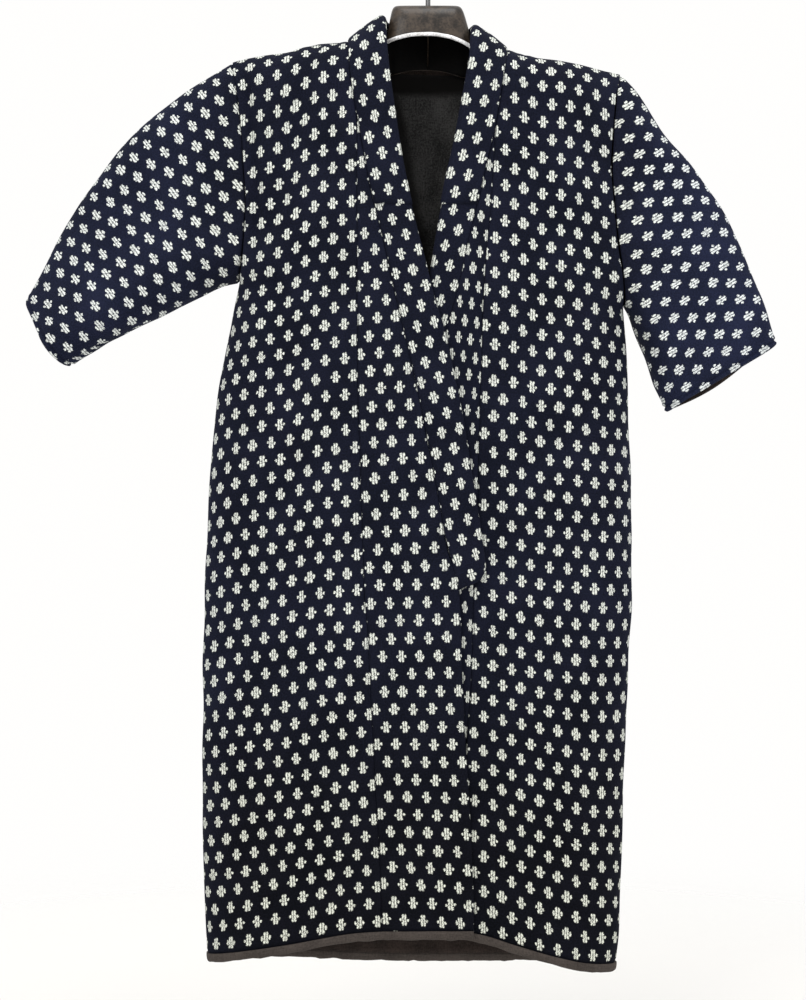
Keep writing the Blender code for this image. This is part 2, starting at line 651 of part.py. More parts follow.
def build_okumi(name, sheet, colour, frames, stations):
    side = sides_of(sheet)
    rows = range(OKUMI_ROW, len(ROWS))
    outer = np.zeros((len(rows), len(OKUMI_COLUMNS), 3))
    normals = np.zeros_like(outer)
    seam = seam_points(sheet)
    for i, r in enumerate(rows):
        start = on_line(okumi_seam(sheet), ROWS[r], sheet, side, 1.0)
        for c, share in enumerate(OKUMI_COLUMNS):
            x = mix(start[0], seam[r][0], share)
            z = mix(start[1], seam[r][2], share)
            outer[i, c] = (x, face_y(x, z, sheet), z)
            normals[i, c] = face_normal(x, z, sheet)
        for (point, _, row, where), (_, normal) in zip(stations, frames):
            if where == sheet and row == r:
                normals[i, -1] = unit(normals[i, -1] + normal)
    inner = outer - normals * WALL
    for grid in (outer, inner):
        grid[:, 0, 0] -= side * SEAM_GAP / 2
        grid[:, -1, 0] += side * SEAM_GAP / 2
    add_object(name, *grid_wall(outer, inner), colour)
    return outer, inner, normals


def collar_section(width, proud):
    """Outline of the collar in its own plane: way from the seam, height over the cloth's face."""
    low = proud - COLLAR_THICK
    return [
        (0.0, 0.0), (0.10 * width, 0.8 * proud), (0.30 * width, proud), (0.65 * width, proud),
        (width - 0.0055, proud - 0.0003), (width - 0.0016, proud - 0.0020), (width, proud - COLLAR_THICK / 2),
        (width - 0.0016, low + 0.0020), (width - 0.0055, low + 0.0003), (0.65 * width, low),
        (0.30 * width, low), (0.0, -WALL),
    ]


def proud_at(point, where):
    """The under collar lies flush where the over sheet covers it."""
    if where == "under":
        return COLLAR_PROUD * (1 - smooth((-0.355 - point[2]) / 0.04))
    return COLLAR_PROUD


def seam_normal(sheet, point, normal, row):
    if row == 0:
        return normal
    return unit(face_normal(point[0], point[2], sheet) + normal)


def build_collar(colour, stations, frames):
    loops = []
    for (seam, free, row, where), (across, normal) in zip(stations, frames):
        width = np.linalg.norm(free - seam)
        loop = []
        for a, b in collar_section(width, proud_at(seam, where)):
            loop.append(seam + across * (a + SEAM_GAP) + normal * b)
        if where != "back" and row > 0:
            loop[-1] = seam + across * SEAM_GAP - seam_normal(where, seam, normal, row) * WALL
        loops.append(loop)
    add_object("collar", *swept(loops), colour)


def offset_line(line, distance):
    """A line of (a, b) points moved to its left."""
    line = np.array(line)
    moved = []
    for i in range(len(line)):
        before = line[max(i - 1, 0)]
        after = line[min(i + 1, len(line) - 1)]
        first = unit(line[i] - before) if i > 0 else unit(after - line[i])
        second = unit(after - line[i]) if i < len(line) - 1 else first
        direction = unit(first + second)
        left = np.array((-direction[1], direction[0]))
        moved.append(line[i] + left * distance / max(np.dot(direction, first), 0.5))
    return moved


def build_over_collar(colour, stations, frames):
    """A thin cloth over the neck part of the collar, open along the seam."""
    loops = []
    for (seam, free, row, where), (across, normal) in zip(stations, frames):
        if row > OVER_COLLAR_ROW:
            continue
        width = np.linalg.norm(free - seam)
        section = collar_section(width, proud_at(seam, where))[1:-1]
        near = offset_line(section, SEAM_GAP)
        far = offset_line(section, SEAM_GAP + OVER_COLLAR_THICK)
        outline = far + near[::-1]
        loops.append([seam + across * (a + SEAM_GAP) + normal * b for a, b in outline])
    add_object("over_collar", *swept(loops), colour)


def lower_of(first, second):
    """The middle of two points that meet at a seam, at the height of the lower one."""
    point = mix(first, second, 0.5)
    point[2] = min(first[2], second[2])
    return point


def build_hem_band(colour, hems):
    """The padded band below every hem, from the over front's edge round to the under front's edge."""
    section = ((0.0, 0.0003), (0.0008, 0.0020), (0.0010, 0.0055), (0.0004, 0.0086), (-0.0020, 0.0108),
               (-0.0050, 0.0108), (-0.0072, 0.0086), (-0.0079, 0.0055), (-0.0077, 0.0020), (-0.0070, 0.0003))
    loops = []
    for outer, inner in hems:
        out = unit((outer - inner) * np.array((1.0, 1.0, 0.0)))
        loop = [outer + out * b - np.array((0.0, 0.0, c)) for b, c in section]
        loop[-1] = inner - np.array((0.0, 0.0, 0.0003))
        loops.append(loop)
    add_object("hem_band", *swept(loops), colour)


def build_lining(name, colour, parts, rows):
    """A thin cloth inside the back, made from the back's own points."""
    (left, left_normals), (right, right_normals) = parts
    points = np.concatenate([left[rows], right[rows][:, ::-1][:, 1:]], axis=1)
    normals = np.concatenate([left_normals[rows], right_normals[rows][:, ::-1][:, 1:]], axis=1)
    outer = points - normals * (WALL + 0.0004)
    inner = points - normals * (WALL + 0.0004 + LINING_THICK)
    add_object(name, *grid_wall(outer, inner), colour)


def neck_station(x):
    """Outer points of the hanger's neck at x, front rim to rear rim."""
    lower = 0.030 * smooth((abs(x) - 0.0395) / 0.0085) ** 3
    narrow = 1 - 0.5 * smooth((abs(x) - 0.024) / 0.026) ** 2
    loop = [(x, -0.0298 * (1 + narrow) / 2, value(NECK_RIMS, x, 1))]
    for y, z in NECK_SECTION:
        loop.append((x, y * narrow, min(z, max(z - lower, -0.100))))
    loop.append((x, 0.0305 * narrow, value(NECK_RIMS, x, 2)))
    return loop


def arm_stations(strip):
    """Outer points of a hanger arm, just inside the cloth that lies on it, from its end to the neck."""
    outer, normals = strip
    last = len(ROWS) - 1
    inside = outer - normals * (WALL + HANGER_GAP)
    stations = []
    for c in range(HANGER_END_COLUMN, len(COLUMNS)):
        rows = [inside[last + r, c] for r in (-2, -1, 0, 1, 2)]
        loop = []
        for first, second in zip(rows, rows[1:]):
            loop += [first, mix(first, second, 0.5)]
        loop.append(rows[-1])
        skirt = HANGER_SKIRT if c > HANGER_END_COLUMN else 0.6 * HANGER_SKIRT
        for end in (0, -1):
            low = loop[end].copy()
            low[2] = rows[2][2] - skirt
            loop.insert(0, low) if end == 0 else loop.append(low)
        stations.append(loop)
    for x in ARM_TO_NECK:
        x = math.copysign(x, outer[last, 0, 0])
        loop = []
        for point in stations[len(COLUMNS) - 1 - HANGER_END_COLUMN]:
            loop.append((x, point[1], point[2] - value(NECK_DIP, abs(x))))
        stations.append(loop)
    return stations


def build_hanger(colour, strips):
    left = arm_stations(strips["over"])
    right = arm_stations(strips["under"])
    neck = [neck_station(x) for x in (-0.0478, -0.0462, -0.0430, -0.0360, -0.0200)]
    neck += [neck_station(x) for x in (0.0, 0.0200, 0.0360, 0.0430, 0.0462, 0.0478)]
    outer = np.array(left + neck + right[::-1])
    normals = grid_normals(outer, False)
    if normals[len(outer) // 2, 5, 2] < 0:
        normals = -normals
    inner = outer - normals * HANGER_SHELL
    inner[:, 0, 2] = outer[:, 0, 2]
    inner[:, -1, 2] = outer[:, -1, 2]
    add_object("hanger", *grid_wall(outer, inner), colour, 0.35)


def build_hook(colour):
    """A wire from the hanger's neck round to an open hook."""
    radius = HOOK_INSIDE + HOOK_WIRE
    centre = -HOOK_INSIDE
    points = [(0.0, NECK_TOP + 0.0004), (0.0, NECK_TOP + 0.009)]
    for degrees in range(-78, 200, 12):
        angle = math.radians(degrees)
        points.append((radius * math.cos(angle), centre + radius * math.sin(angle)))
    curve = bpy.data.curves.new("hook", "CURVE")
    curve.dimensions = "3D"
    curve.bevel_depth = HOOK_WIRE
    curve.bevel_resolution = 2
    curve.use_fill_caps = True
    spline = curve.splines.new("POLY")
    spline.points.add(len(points) - 1)
    for target, (x, z) in zip(spline.points, points):
        target.co = (x, 0.0, z, 1.0)
    curve.materials.append(make_material("hook", colour, 0.3, 1.0))
    item = bpy.data.objects.new("hook", curve)
    bpy.data.collections["padded_kimono"].objects.link(item)


def build():
    clear_scene()
    collection = bpy.data.collections.new("padded_kimono")
    bpy.context.scene.collection.children.link(collection)
    indigo = (0.012, 0.014, 0.030)
    brown = (0.045, 0.035, 0.030)
    stations = collar_stations()
    frames = collar_frames(stations)
    strips = {}
    okumis = {}
    for sheet, side, hand in (("over", -1, "right"), ("under", 1, "left")):
        normals = build_sleeve("sleeve_" + hand, side, indigo)
        strips[sheet] = build_strip("body_" + hand, sheet, indigo, normals, frames, stations)
        okumis[sheet] = build_okumi("okumi_" + hand, sheet, indigo, frames, stations)
    build_collar(indigo, stations, frames)
    build_over_collar(indigo, stations, frames)
    half = len(COLUMNS) - 1
    hems = []
    for sheet in ("over", "under"):
        outer, inner, _ = strips[sheet]
        okumi_outer, okumi_inner, _ = okumis[sheet]
        part = [(okumi_outer[-1, c], okumi_inner[-1, c]) for c in range(len(OKUMI_COLUMNS) - 1, 0, -1)]
        part += [(outer[0, c], inner[0, c]) for c in range(half, 0, -1)]
        part.append((lower_of(outer[0, 0], outer[-1, 0]), lower_of(inner[0, 0], inner[-1, 0])))
        columns = outer.shape[1]
        part += [(outer[-1, c], inner[-1, c]) for c in range(1, columns - 1)]
        if sheet == "over":
            hems = part
            centre = (outer[-1, -1], inner[-1, -1])
        else:
            middle = (lower_of(centre[0], outer[-1, -1]), lower_of(centre[1], inner[-1, -1]))
            hems = hems + [middle] + part[::-1]
    build_hem_band(brown, hems)
    last = len(ROWS) - 1
    inside = [(strips[sheet][0][:, half - 1:], strips[sheet][2][:, half - 1:]) for sheet in ("over", "under")]
    build_lining("neck_lining", brown, inside, slice(last + 3, last + 17))
    whole = [(strips[sheet][0][:, 3:], strips[sheet][2][:, 3:]) for sheet in ("over", "under")]
    build_lining("hem_lining", brown, whole, slice(2 * last - 2, 2 * last + 1))
    build_hanger((0.06, 0.035, 0.02), {sheet: (grids[0], grids[2]) for sheet, grids in strips.items()})
    build_hook((0.5, 0.5, 0.5))


build()
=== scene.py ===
"""Padded winter kimono on a suit hanger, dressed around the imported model.
Metres, +Z up, +X to the viewer's right, front to -Y. The origin is the inside top of the hook."""
import functools
import math

import bmesh
import bpy
import numpy as np
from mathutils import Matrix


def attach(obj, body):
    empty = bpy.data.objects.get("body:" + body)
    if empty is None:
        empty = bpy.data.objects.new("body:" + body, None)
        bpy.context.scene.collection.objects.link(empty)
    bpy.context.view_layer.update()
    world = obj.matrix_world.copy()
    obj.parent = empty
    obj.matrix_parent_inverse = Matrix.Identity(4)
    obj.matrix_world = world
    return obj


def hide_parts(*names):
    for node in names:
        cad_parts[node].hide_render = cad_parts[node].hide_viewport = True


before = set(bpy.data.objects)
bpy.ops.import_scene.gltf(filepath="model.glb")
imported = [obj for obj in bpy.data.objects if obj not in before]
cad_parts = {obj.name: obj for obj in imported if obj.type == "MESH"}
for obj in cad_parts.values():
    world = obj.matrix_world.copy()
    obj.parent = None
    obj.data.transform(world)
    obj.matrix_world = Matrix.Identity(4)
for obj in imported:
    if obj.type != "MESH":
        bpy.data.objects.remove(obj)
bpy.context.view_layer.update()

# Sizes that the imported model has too
WALL = 0.007
SEAM_GAP = 0.0003
SEAM_APART = 0.0008
SIDE_ROUND = 0.12
TOP_ROUND = 0.05
COLLAR_THICK = 0.009
COLLAR_PROUD = 0.0016
OVER_COLLAR_THICK = 0.0012
OVER_COLLAR_END = -0.308
BAND_HEIGHT = 0.011
LIFT_OVER = 0.0050
SINK_UNDER = 0.0045
ARMHOLE_HALF_DEPTH = 0.030
ARMHOLE_ROUND = 0.05
HOOK_WIRE = 0.0030
HOOK_INSIDE = 0.022
NECK_TOP = -0.062

# Cuff: how far the back layer hangs past the front one; distance from the edge, width and height of its folds
CUFF_PAST = 0.006
CUFF_EDGES = ((0.0065, 0.0012, -0.0022), (0.0100, 0.0020, 0.0008), (0.0035, 0.0016, 0.0006))

# Longest step between rows, cloth from shoulder fold to hem, and the repeat of the dyed figure
STEP = 0.006
LENGTH = 1.075
FIGURE_ACROSS = 0.0220
FIGURE_DOWN = 0.0210
# The lower okumi turns away from the view where it shows, so its figures stand closer
FIGURE_ACROSS_LOWER_OKUMI = 0.0140

# Rows of the front and the back, as fractions from the shoulder fold to the hem
ARMPIT = 0.2543
OKUMI_START = 0.095
COLLAR_LAST = 0.56
COLLAR_END = 0.62
# Allowance for rounding where rows are compared with these
ROUNDING = 1e-6

# z, left x, right x, front half depth, back half depth
BODY = (
    (-0.120, -0.2352, 0.2335, 0.050, 0.046),
    (-0.136, -0.2328, 0.2310, 0.051, 0.046),
    (-0.176, -0.2268, 0.2235, 0.052, 0.047),
    (-0.218, -0.2220, 0.2196, 0.053, 0.047),
    (-0.260, -0.2196, 0.2176, 0.053, 0.047),
    (-0.304, -0.2172, 0.2206, 0.053, 0.047),
    (-0.348, -0.2196, 0.2250, 0.053, 0.047),
    (-0.400, -0.2268, 0.2318, 0.052, 0.046),
    (-0.460, -0.2400, 0.2358, 0.052, 0.046),
    (-0.540, -0.2544, 0.2400, 0.051, 0.045),
    (-0.640, -0.2620, 0.2440, 0.050, 0.045),
    (-0.740, -0.2670, 0.2448, 0.049, 0.044),
    (-0.860, -0.2698, 0.2398, 0.048, 0.043),
    (-0.980, -0.2700, 0.2350, 0.046, 0.042),
    (-1.100, -0.2695, 0.2312, 0.044, 0.041),
    (-1.160, -0.2676, 0.2298, 0.043, 0.040),
    (-1.215, -0.2640, 0.2250, 0.042, 0.040),
)
# x, z of the shoulder fold, carried on under the collar up to its free edge
RIDGE = (
    (-0.2400, -0.1320), (-0.2328, -0.1285), (-0.1956, -0.1224), (-0.1668, -0.1188), (-0.1476, -0.1116),
    (-0.1284, -0.1068), (-0.1092, -0.1056), (-0.0948, -0.1050), (-0.0528, -0.0744), (-0.0200, -0.0700),
    (0.0200, -0.0740), (0.0536, -0.0860), (0.0936, -0.1152), (0.1116, -0.1188), (0.1308, -0.1255),
    (0.1500, -0.1272), (0.1788, -0.1320), (0.2076, -0.1392), (0.2292, -0.1440), (0.2400, -0.1475),
)
# x, z that the rows start from: the same without the rise to the neck
ROW_TOP = RIDGE[:8] + ((-0.0400, -0.1000), (0.0400, -0.1060)) + RIDGE[12:]
# x, z of the lower edge of the hem band, for each sheet
HEMS = {
    "over": ((-0.270, -1.2085), (-0.200, -1.1950), (-0.150, -1.1860), (-0.100, -1.1770), (-0.060, -1.1722),
             (-0.020, -1.1705), (0.060, -1.1715)),
    "under": ((-0.060, -1.1690), (0.000, -1.1700), (0.055, -1.1765), (0.100, -1.1885), (0.150, -1.2035),
              (0.190, -1.2140), (0.230, -1.2195)),
    "back": ((-0.270, -1.2085), (-0.200, -1.2100), (-0.100, -1.2140), (0.000, -1.2165), (0.150, -1.2155),
             (0.230, -1.2195)),
}
# z, x of the collar's seam down to the collar's end, then of the front edge
SEAM_OVER = (
    (-0.1050, -0.0948), (-0.150, -0.0915), (-0.204, -0.0830), (-0.250, -0.0745), (-0.300, -0.0650),
    (-0.352, -0.0523), (-0.420, -0.0375), (-0.474, -0.0245), (-0.522, -0.0136), (-0.604, 0.0028),
    (-0.665, 0.0140), (-0.708, 0.0215), (-0.757, 0.0356), (-0.790, 0.0376), (-0.860, 0.0397),
    (-0.925, 0.0426), (-1.000, 0.0473), (-1.068, 0.0508), (-1.118, 0.0528), (-1.180, 0.0534),
)
SEAM_UNDER = (
    (-0.1152, 0.0936), (-0.143, 0.0895), (-0.185, 0.0825), (-0.219, 0.0770), (-0.259, 0.0672),
    (-0.306, 0.0570), (-0.354, 0.0456), (-0.383, 0.0395), (-0.423, 0.0298), (-0.455, 0.0204),
    (-0.543, 0.0060), (-0.604, -0.0060), (-0.665, -0.0150), (-0.708, -0.0200), (-0.757, -0.0290),
    (-0.790, -0.0305), (-0.925, -0.0360), (-1.000, -0.0390), (-1.180, -0.0464),
)
# z, x of the collar's free edge
FREE_OVER = (
    (-0.0744, -0.0540), (-0.120, -0.0500), (-0.157, -0.0458), (-0.194, -0.0406), (-0.238, -0.0340),
    (-0.284, -0.0253), (-0.325, -0.0155), (-0.3845, -0.0010), (-0.4173, 0.0070), (-0.455, 0.0190),
    (-0.511, 0.0312), (-0.559, 0.0410), (-0.612, 0.0492), (-0.654, 0.0562), (-0.715, 0.0650),
    (-0.757, 0.0700),
)
FREE_UNDER = (
    (-0.0860, 0.0548), (-0.108, 0.0517), (-0.130, 0.0495), (-0.156, 0.0450), (-0.194, 0.0380),
    (-0.232, 0.0310), (-0.277, 0.0207), (-0.326, 0.0115), (-0.361, 0.0050), (-0.402, -0.0015),
    (-0.455, -0.0136), (-0.511, -0.0241), (-0.559, -0.0347), (-0.612, -0.0429), (-0.654, -0.0495),
    (-0.715, -0.0590), (-0.757, -0.0640),
)
# depth below the seam's upper end, how much higher the free edge lies than the seam beside it
FREE_RISE = ((0, 0.0306), (0.028, 0.0265), (0.043, 0.0215), (0.064, 0.0155), (0.086, 0.0115), (0.102, 0.0085),
             (0.132, 0.005), (0.17, 0.001), (0.20, 0.0), (2.0, 0.0))
# share of the way from the last full row to the collar's end, free edge x, z; the under end mirrors it
END_OVER = ((0.35, 0.0655, -0.7160), (0.60, 0.0672, -0.7320), (0.80, 0.0635, -0.7435),
            (0.93, 0.0550, -0.7515), (1.00, 0.0440, -0.7565))
ENDS_ACROSS = 0.0068
END_UNDER = tuple((share, ENDS_ACROSS - x, z) for share, x, z in END_OVER)
# z, x of the seam between body and okumi
OKUMI_OVER = ((-0.190, -0.0842), (-0.490, -0.0832), (-0.615, -0.0804), (-0.734, -0.0765), (-0.840, -0.0700),
              (-0.960, -0.0642), (-1.084, -0.0572), (-1.180, -0.0540))
OKUMI_UNDER = ((-0.210, 0.0785), (-0.300, 0.0740), (-0.360, 0.0680), (-0.455, 0.0630), (-0.540, 0.0602),
               (-0.654, 0.0575), (-0.760, 0.0535), (-0.860, 0.0503), (-0.943, 0.0445), (-1.180, 0.0330))
# z, outermost edge of the under sheet, outermost edge of the over sheet
OVERLAP = ((-0.30, 0.016, -0.020), (-0.36, 0.004, -0.004), (-0.42, -0.006, 0.010), (-0.51, -0.026, 0.033),
           (-0.61, -0.045, 0.051), (-0.70, -0.059, 0.065), (-0.757, -0.064, 0.070), (-0.82, -0.056, 0.063),
           (-0.92, -0.046, 0.056), (-1.22, -0.052, 0.060))
# collar behind the neck, left to right: seam x, y, z, free edge x, y, z
NECK = (
    (-0.0900, 0.0220, -0.1075, -0.0505, 0.022, -0.0750),
    (-0.0700, 0.0400, -0.1105, -0.0400, 0.036, -0.0765),
    (-0.0370, 0.0480, -0.1135, -0.0215, 0.043, -0.0780),
    (-0.0040, 0.0500, -0.1145, -0.0030, 0.045, -0.0790),
    (0.0300, 0.0480, -0.1155, 0.0170, 0.043, -0.0800),
    (0.0650, 0.0400, -0.1160, 0.0370, 0.036, -0.0825),
    (0.0870, 0.0220, -0.1160, 0.0490, 0.022, -0.0850),
)
# z, x of the centre back seam
CENTRE_BACK = ((-0.1145, -0.0040), (-1.220, -0.0095))
# way along the sleeve, top x, y, z, bottom x, y, z, half depth, rounding of its two folds
SLEEVE_OVER = (
    (0.00, -0.2334, 0.000, -0.1289, -0.2258, 0.000, -0.3940, 0.030, 0.050),
    (0.10, -0.2560, 0.000, -0.1420, -0.2450, 0.000, -0.3985, 0.034, 0.050),
    (0.25, -0.3090, 0.006, -0.1780, -0.2750, -0.006, -0.4130, 0.036, 0.050),
    (0.42, -0.3560, 0.012, -0.2160, -0.3090, -0.012, -0.4290, 0.037, 0.046),
    (0.58, -0.3900, 0.018, -0.2580, -0.3420, -0.020, -0.4460, 0.036, 0.042),
    (0.74, -0.4210, 0.024, -0.3050, -0.3760, -0.028, -0.4630, 0.033, 0.038),
    (0.88, -0.4510, 0.030, -0.3600, -0.4060, -0.034, -0.4790, 0.030, 0.035),
    (1.00, -0.4780, 0.034, -0.4170, -0.4350, -0.038, -0.4930, 0.027, 0.032),
)
SLEEVE_UNDER = (
    (0.00, 0.2299, 0.000, -0.1445, 0.2340, 0.000, -0.4225, 0.030, 0.050),
    (0.10, 0.2500, 0.000, -0.1650, 0.2420, 0.000, -0.4360, 0.034, 0.050),
    (0.25, 0.2870, 0.000, -0.2200, 0.2510, 0.000, -0.4600, 0.036, 0.048),
    (0.42, 0.3230, 0.000, -0.2640, 0.2610, 0.000, -0.4870, 0.036, 0.044),
    (0.58, 0.3560, 0.000, -0.3120, 0.2690, 0.000, -0.5090, 0.034, 0.040),
    (0.74, 0.3810, 0.000, -0.3680, 0.2755, 0.000, -0.5260, 0.030, 0.036),
    (0.88, 0.4030, 0.000, -0.4200, 0.2810, 0.000, -0.5390, 0.026, 0.031),
    (1.00, 0.4200, 0.000, -0.4680, 0.2860, 0.000, -0.5490, 0.022, 0.026),
)
# x along the hanger's neck, front rim z, rear rim z
NECK_RIMS = ((-0.0480, -0.1120, -0.1445), (-0.0340, -0.1075, -0.1365), (-0.0180, -0.1038, -0.1322),
             (0.0000, -0.1030, -0.1318), (0.0180, -0.1055, -0.1342), (0.0350, -0.1120, -0.1405),
             (0.0480, -0.1190, -0.1465))
# y, z of the hanger's neck between its rims
NECK_SECTION = ((-0.0290, -0.0960), (-0.0272, -0.0800), (-0.0230, -0.0690), (-0.0140, -0.0636),
                (0.0, NECK_TOP), (0.0140, -0.0636), (0.0235, -0.0700), (0.0280, -0.0850), (0.0298, -0.1080))
# The two fronts: side, wearer's hand, and tables of the collar's seam, free edge and end; the sleeves by side
SIDES = {"over": -1, "under": 1}
HANDS = {"over": "right", "under": "left"}
SEAMS = {"over": SEAM_OVER, "under": SEAM_UNDER}
FREE_EDGES = {"over": FREE_OVER, "under": FREE_UNDER}
ENDS = {"over": END_OVER, "under": END_UNDER}
SLEEVES = {-1: SLEEVE_OVER, 1: SLEEVE_UNDER}
# Where the fronts begin to lie on each other, over what height, how far past their edges, and over what width
LAP_TOP = -0.31
LAP_FADE = 0.065
LAP_PAST = 0.045
LAP_WIDTH = 0.040
# Rounds of the searches for the armhole's top and for where a line meets a row, and z where the second starts
ARMHOLE_ROUNDS, LINE_ROUNDS = 12, 14
LINE_START = -0.3
# Height above the armhole's bottom over which the body's side gets less round
SIDE_CHANGE = 0.09
# The view of the photo: the camera's place, the pixel that it looks at, and a pixel's size on the plane y = 0
CAMERA = (-0.030, -2.2, -0.654)
MIDDLE_PIXEL = (403, 500)
PIXEL = 0.0012
# Figures read in zoomed parts of the photo: pixel across and down of a figure's middle, and how many
# degrees its row rises there towards the viewer's right. A piece's others are counted from its first figure
FIGURES = {
    "body_right": ((274, 655, 6.5), (270, 204, 8.5), (279, 797, 7.5), (294, 916, 10)),
    "body_left": ((521, 617, -8), (561, 195, -8), (549, 821, -13.5)),
    "okumi_right": ((420, 656, 1.5), (423, 921, -3.5)),
    "okumi_left": ((465, 607, -8),),
    "sleeve_right": ((172, 267, 40),),
    "sleeve_left": ((686, 267, -62),),
    "collar_right": ((430, 342, 14.5), (408, 289, 14.5), (442, 433, 15.5)),
    "collar_left": ((458, 230, -15.5),),
    "over_collar_right": ((375, 116, 13), (376, 58, 15), (376, 174, 15)),
    "over_collar_left": ((484, 101, -9.5), (483, 47, -11), (474, 195, -9.5)),
}
# How many points of the collar's section lie on the face that shows its figures
COLLAR_FACE = 12
# Height below the neck over which the back leans in to the neck's seam, and the width over which the free
# edge of a front thins out
NECK_FADE = 0.08
FREE_REACH = 0.0035
# Share of a sleeve's length over which it turns from the armhole's direction to its own
SLEEVE_TURN = 0.3
# Share of the padding's full thickness at a seam and at the hem, the way over which it grows to the full
# thickness, the size and height of its lumps, and how many waves make them
SEAM_FULL = 0.45
HEM_FULL = 0.6
SEAM_REACH = 0.004
BODY_LUMPS = (0.10, 0.0012)
SLEEVE_LUMPS = (0.08, 0.0012)
LUMP_WAVES = 9


def value(table, at, column=1):
    """Smooth values of a table's column at keys of its first column, without overshoot."""
    rows = np.array(sorted(table), float)
    keys, values = rows[:, 0], rows[:, column]
    at = np.asarray(at, float)
    steps = np.diff(keys)
    slopes = np.diff(values) / steps
    ends = np.concatenate([slopes[:1], np.zeros(len(keys) - 2), slopes[-1:]])
    first, second = slopes[:-1], slopes[1:]
    same = first * second > 0
    total = np.where(same, first + second, 1.0)
    ends[1:-1] = np.where(same, 2 * first * second / total, 0.0)
    i = np.clip(np.searchsorted(keys, at, side="right") - 1, 0, len(keys) - 2)
    t = (at - keys[i]) / steps[i]
    inner = ((2 * t ** 3 - 3 * t ** 2 + 1) * values[i] + (t ** 3 - 2 * t ** 2 + t) * steps[i] * ends[i]
             + (3 * t ** 2 - 2 * t ** 3) * values[i + 1] + (t ** 3 - t ** 2) * steps[i] * ends[i + 1])
    before = values[0] + (at - keys[0]) * slopes[0]
    beyond = values[-1] + (at - keys[-1]) * slopes[-1]
    return np.where(t < 0, before, np.where(t > 1, beyond, inner))


def smooth(t):
    t = np.clip(t, 0.0, 1.0)
    return t * t * (3 - 2 * t)


def arc(t):
    t = np.clip(t, 0.0, 1.0)
    return np.sqrt(1 - (1 - t) ** 2)


def unit(vectors):
    vectors = np.asarray(vectors, float)
    return vectors / np.maximum(np.linalg.norm(vectors, axis=-1, keepdims=True), 1e-12)


def mix(first, second, t):
    return first + (second - first) * t


def refine(knots, step):
    """The knots with evenly spaced values added, so that no step is wider."""
    found = [knots[0]]
    for first, second in zip(knots, knots[1:]):
        count = max(1, math.ceil((second - first) / step - 1e-9))
        found += [first + (second - first) * (i + 1) / count for i in range(count)]
    return np.array(found)


def edge_x(z, side):
    return value(BODY, z, 1 if side < 0 else 2)


@functools.cache
def armhole(side):
    """z of the armhole's top and bottom."""
    z = SLEEVES[side][0][3]
    for _ in range(ARMHOLE_ROUNDS):
        z = float(value(ROW_TOP, edge_x(z, side)))
    return z, SLEEVES[side][0][6]


def armhole_depth(below, z, side):
    """Half depth at the armhole, so far below the shoulder fold."""
    bottom = np.where(np.asarray(side) < 0, armhole(-1)[1], armhole(1)[1])
    return ARMHOLE_HALF_DEPTH * arc(below / ARMHOLE_ROUND) * arc((z - bottom) / ARMHOLE_ROUND)


def half_depth(x, z, back):
    """How far the body's outer face lies before or behind the middle plane."""
    left = x - edge_x(z, -1)
    right = edge_x(z, 1) - x
    side = np.where(left < right, -1, 1)
    near = np.maximum(np.minimum(left, right), 0.0) / SIDE_ROUND
    below = value(RIDGE, x) - z
    full = value(BODY, z, 4 if back else 3) * arc(below / TOP_ROUND)
    at_edge = armhole_depth(below, z, side)
    bottom = np.where(side < 0, armhole(-1)[1], armhole(1)[1])
    soft = smooth((z - bottom) / SIDE_CHANGE)
    rise = mix(arc(near), np.sin(math.pi / 2 * np.minimum(near, 1.0)), soft)
    return at_edge + (full - at_edge) * rise


def layer(x, z, sheet):
    """How far the over sheet is lifted, or the under sheet sunk, where they lie on each other."""
    down = smooth((LAP_TOP - z) / LAP_FADE)
    if sheet == "over":
        return LIFT_OVER * down * smooth((x - value(OVERLAP, z, 1) + LAP_PAST) / LAP_WIDTH)
    if sheet == "under":
        return -SINK_UNDER * down * smooth((value(OVERLAP, z, 2) + LAP_PAST - x) / LAP_WIDTH)
    return 0.0


def face_y(x, z, sheet):
    if sheet == "back":
        return half_depth(x, z, True)
    return -half_depth(x, z, False) - layer(x, z, sheet)


def hem_z(x, sheet):
    return value(HEMS[sheet], x) + BAND_HEIGHT


def row_z(fraction, x, side, inward, back=False):
    """Height of a row; the armpit's row is moved to its own height, fading towards the inner edge."""
    sheet = "over" if side < 0 else "under"
    bottom = armhole(side)[1]
    at = edge_x(bottom, side)
    own = (value(ROW_TOP, at) - bottom) / (value(ROW_TOP, at) - hem_z(at, sheet))
    hat = np.where(fraction < ARMPIT, fraction / ARMPIT,
                   np.maximum(0.0, (COLLAR_END - fraction) / (COLLAR_END - ARMPIT)))
    fraction = fraction + (own - ARMPIT) * hat * (1 - inward) ** 2
    top = value(ROW_TOP, x)
    hem = hem_z(x, sheet)
    if back:
        hem = mix(hem, hem_z(x, "back"), smooth(3 * inward))
    return top - fraction * (top - hem)


def on_line(line, fraction, side, inward):
    """Where a line x(z) meets the rows."""
    fraction = np.asarray(fraction, float)
    x = np.zeros(fraction.shape) + line(LINE_START)
    z = x
    for _ in range(LINE_ROUNDS):
        z = row_z(fraction, x, side, inward)
        x = line(z)
    return x, z


def collar_seam(sheet):
    return lambda z: value(SEAMS[sheet], z)


def okumi_seam(sheet):
    """The seam between body and okumi, kept a thread's width off the collar's seam."""
    if sheet == "over":
        return lambda z: np.minimum(value(OKUMI_OVER, z), value(SEAM_OVER, z) - SEAM_APART)
    return lambda z: np.maximum(value(OKUMI_UNDER, z), value(SEAM_UNDER, z) + SEAM_APART)


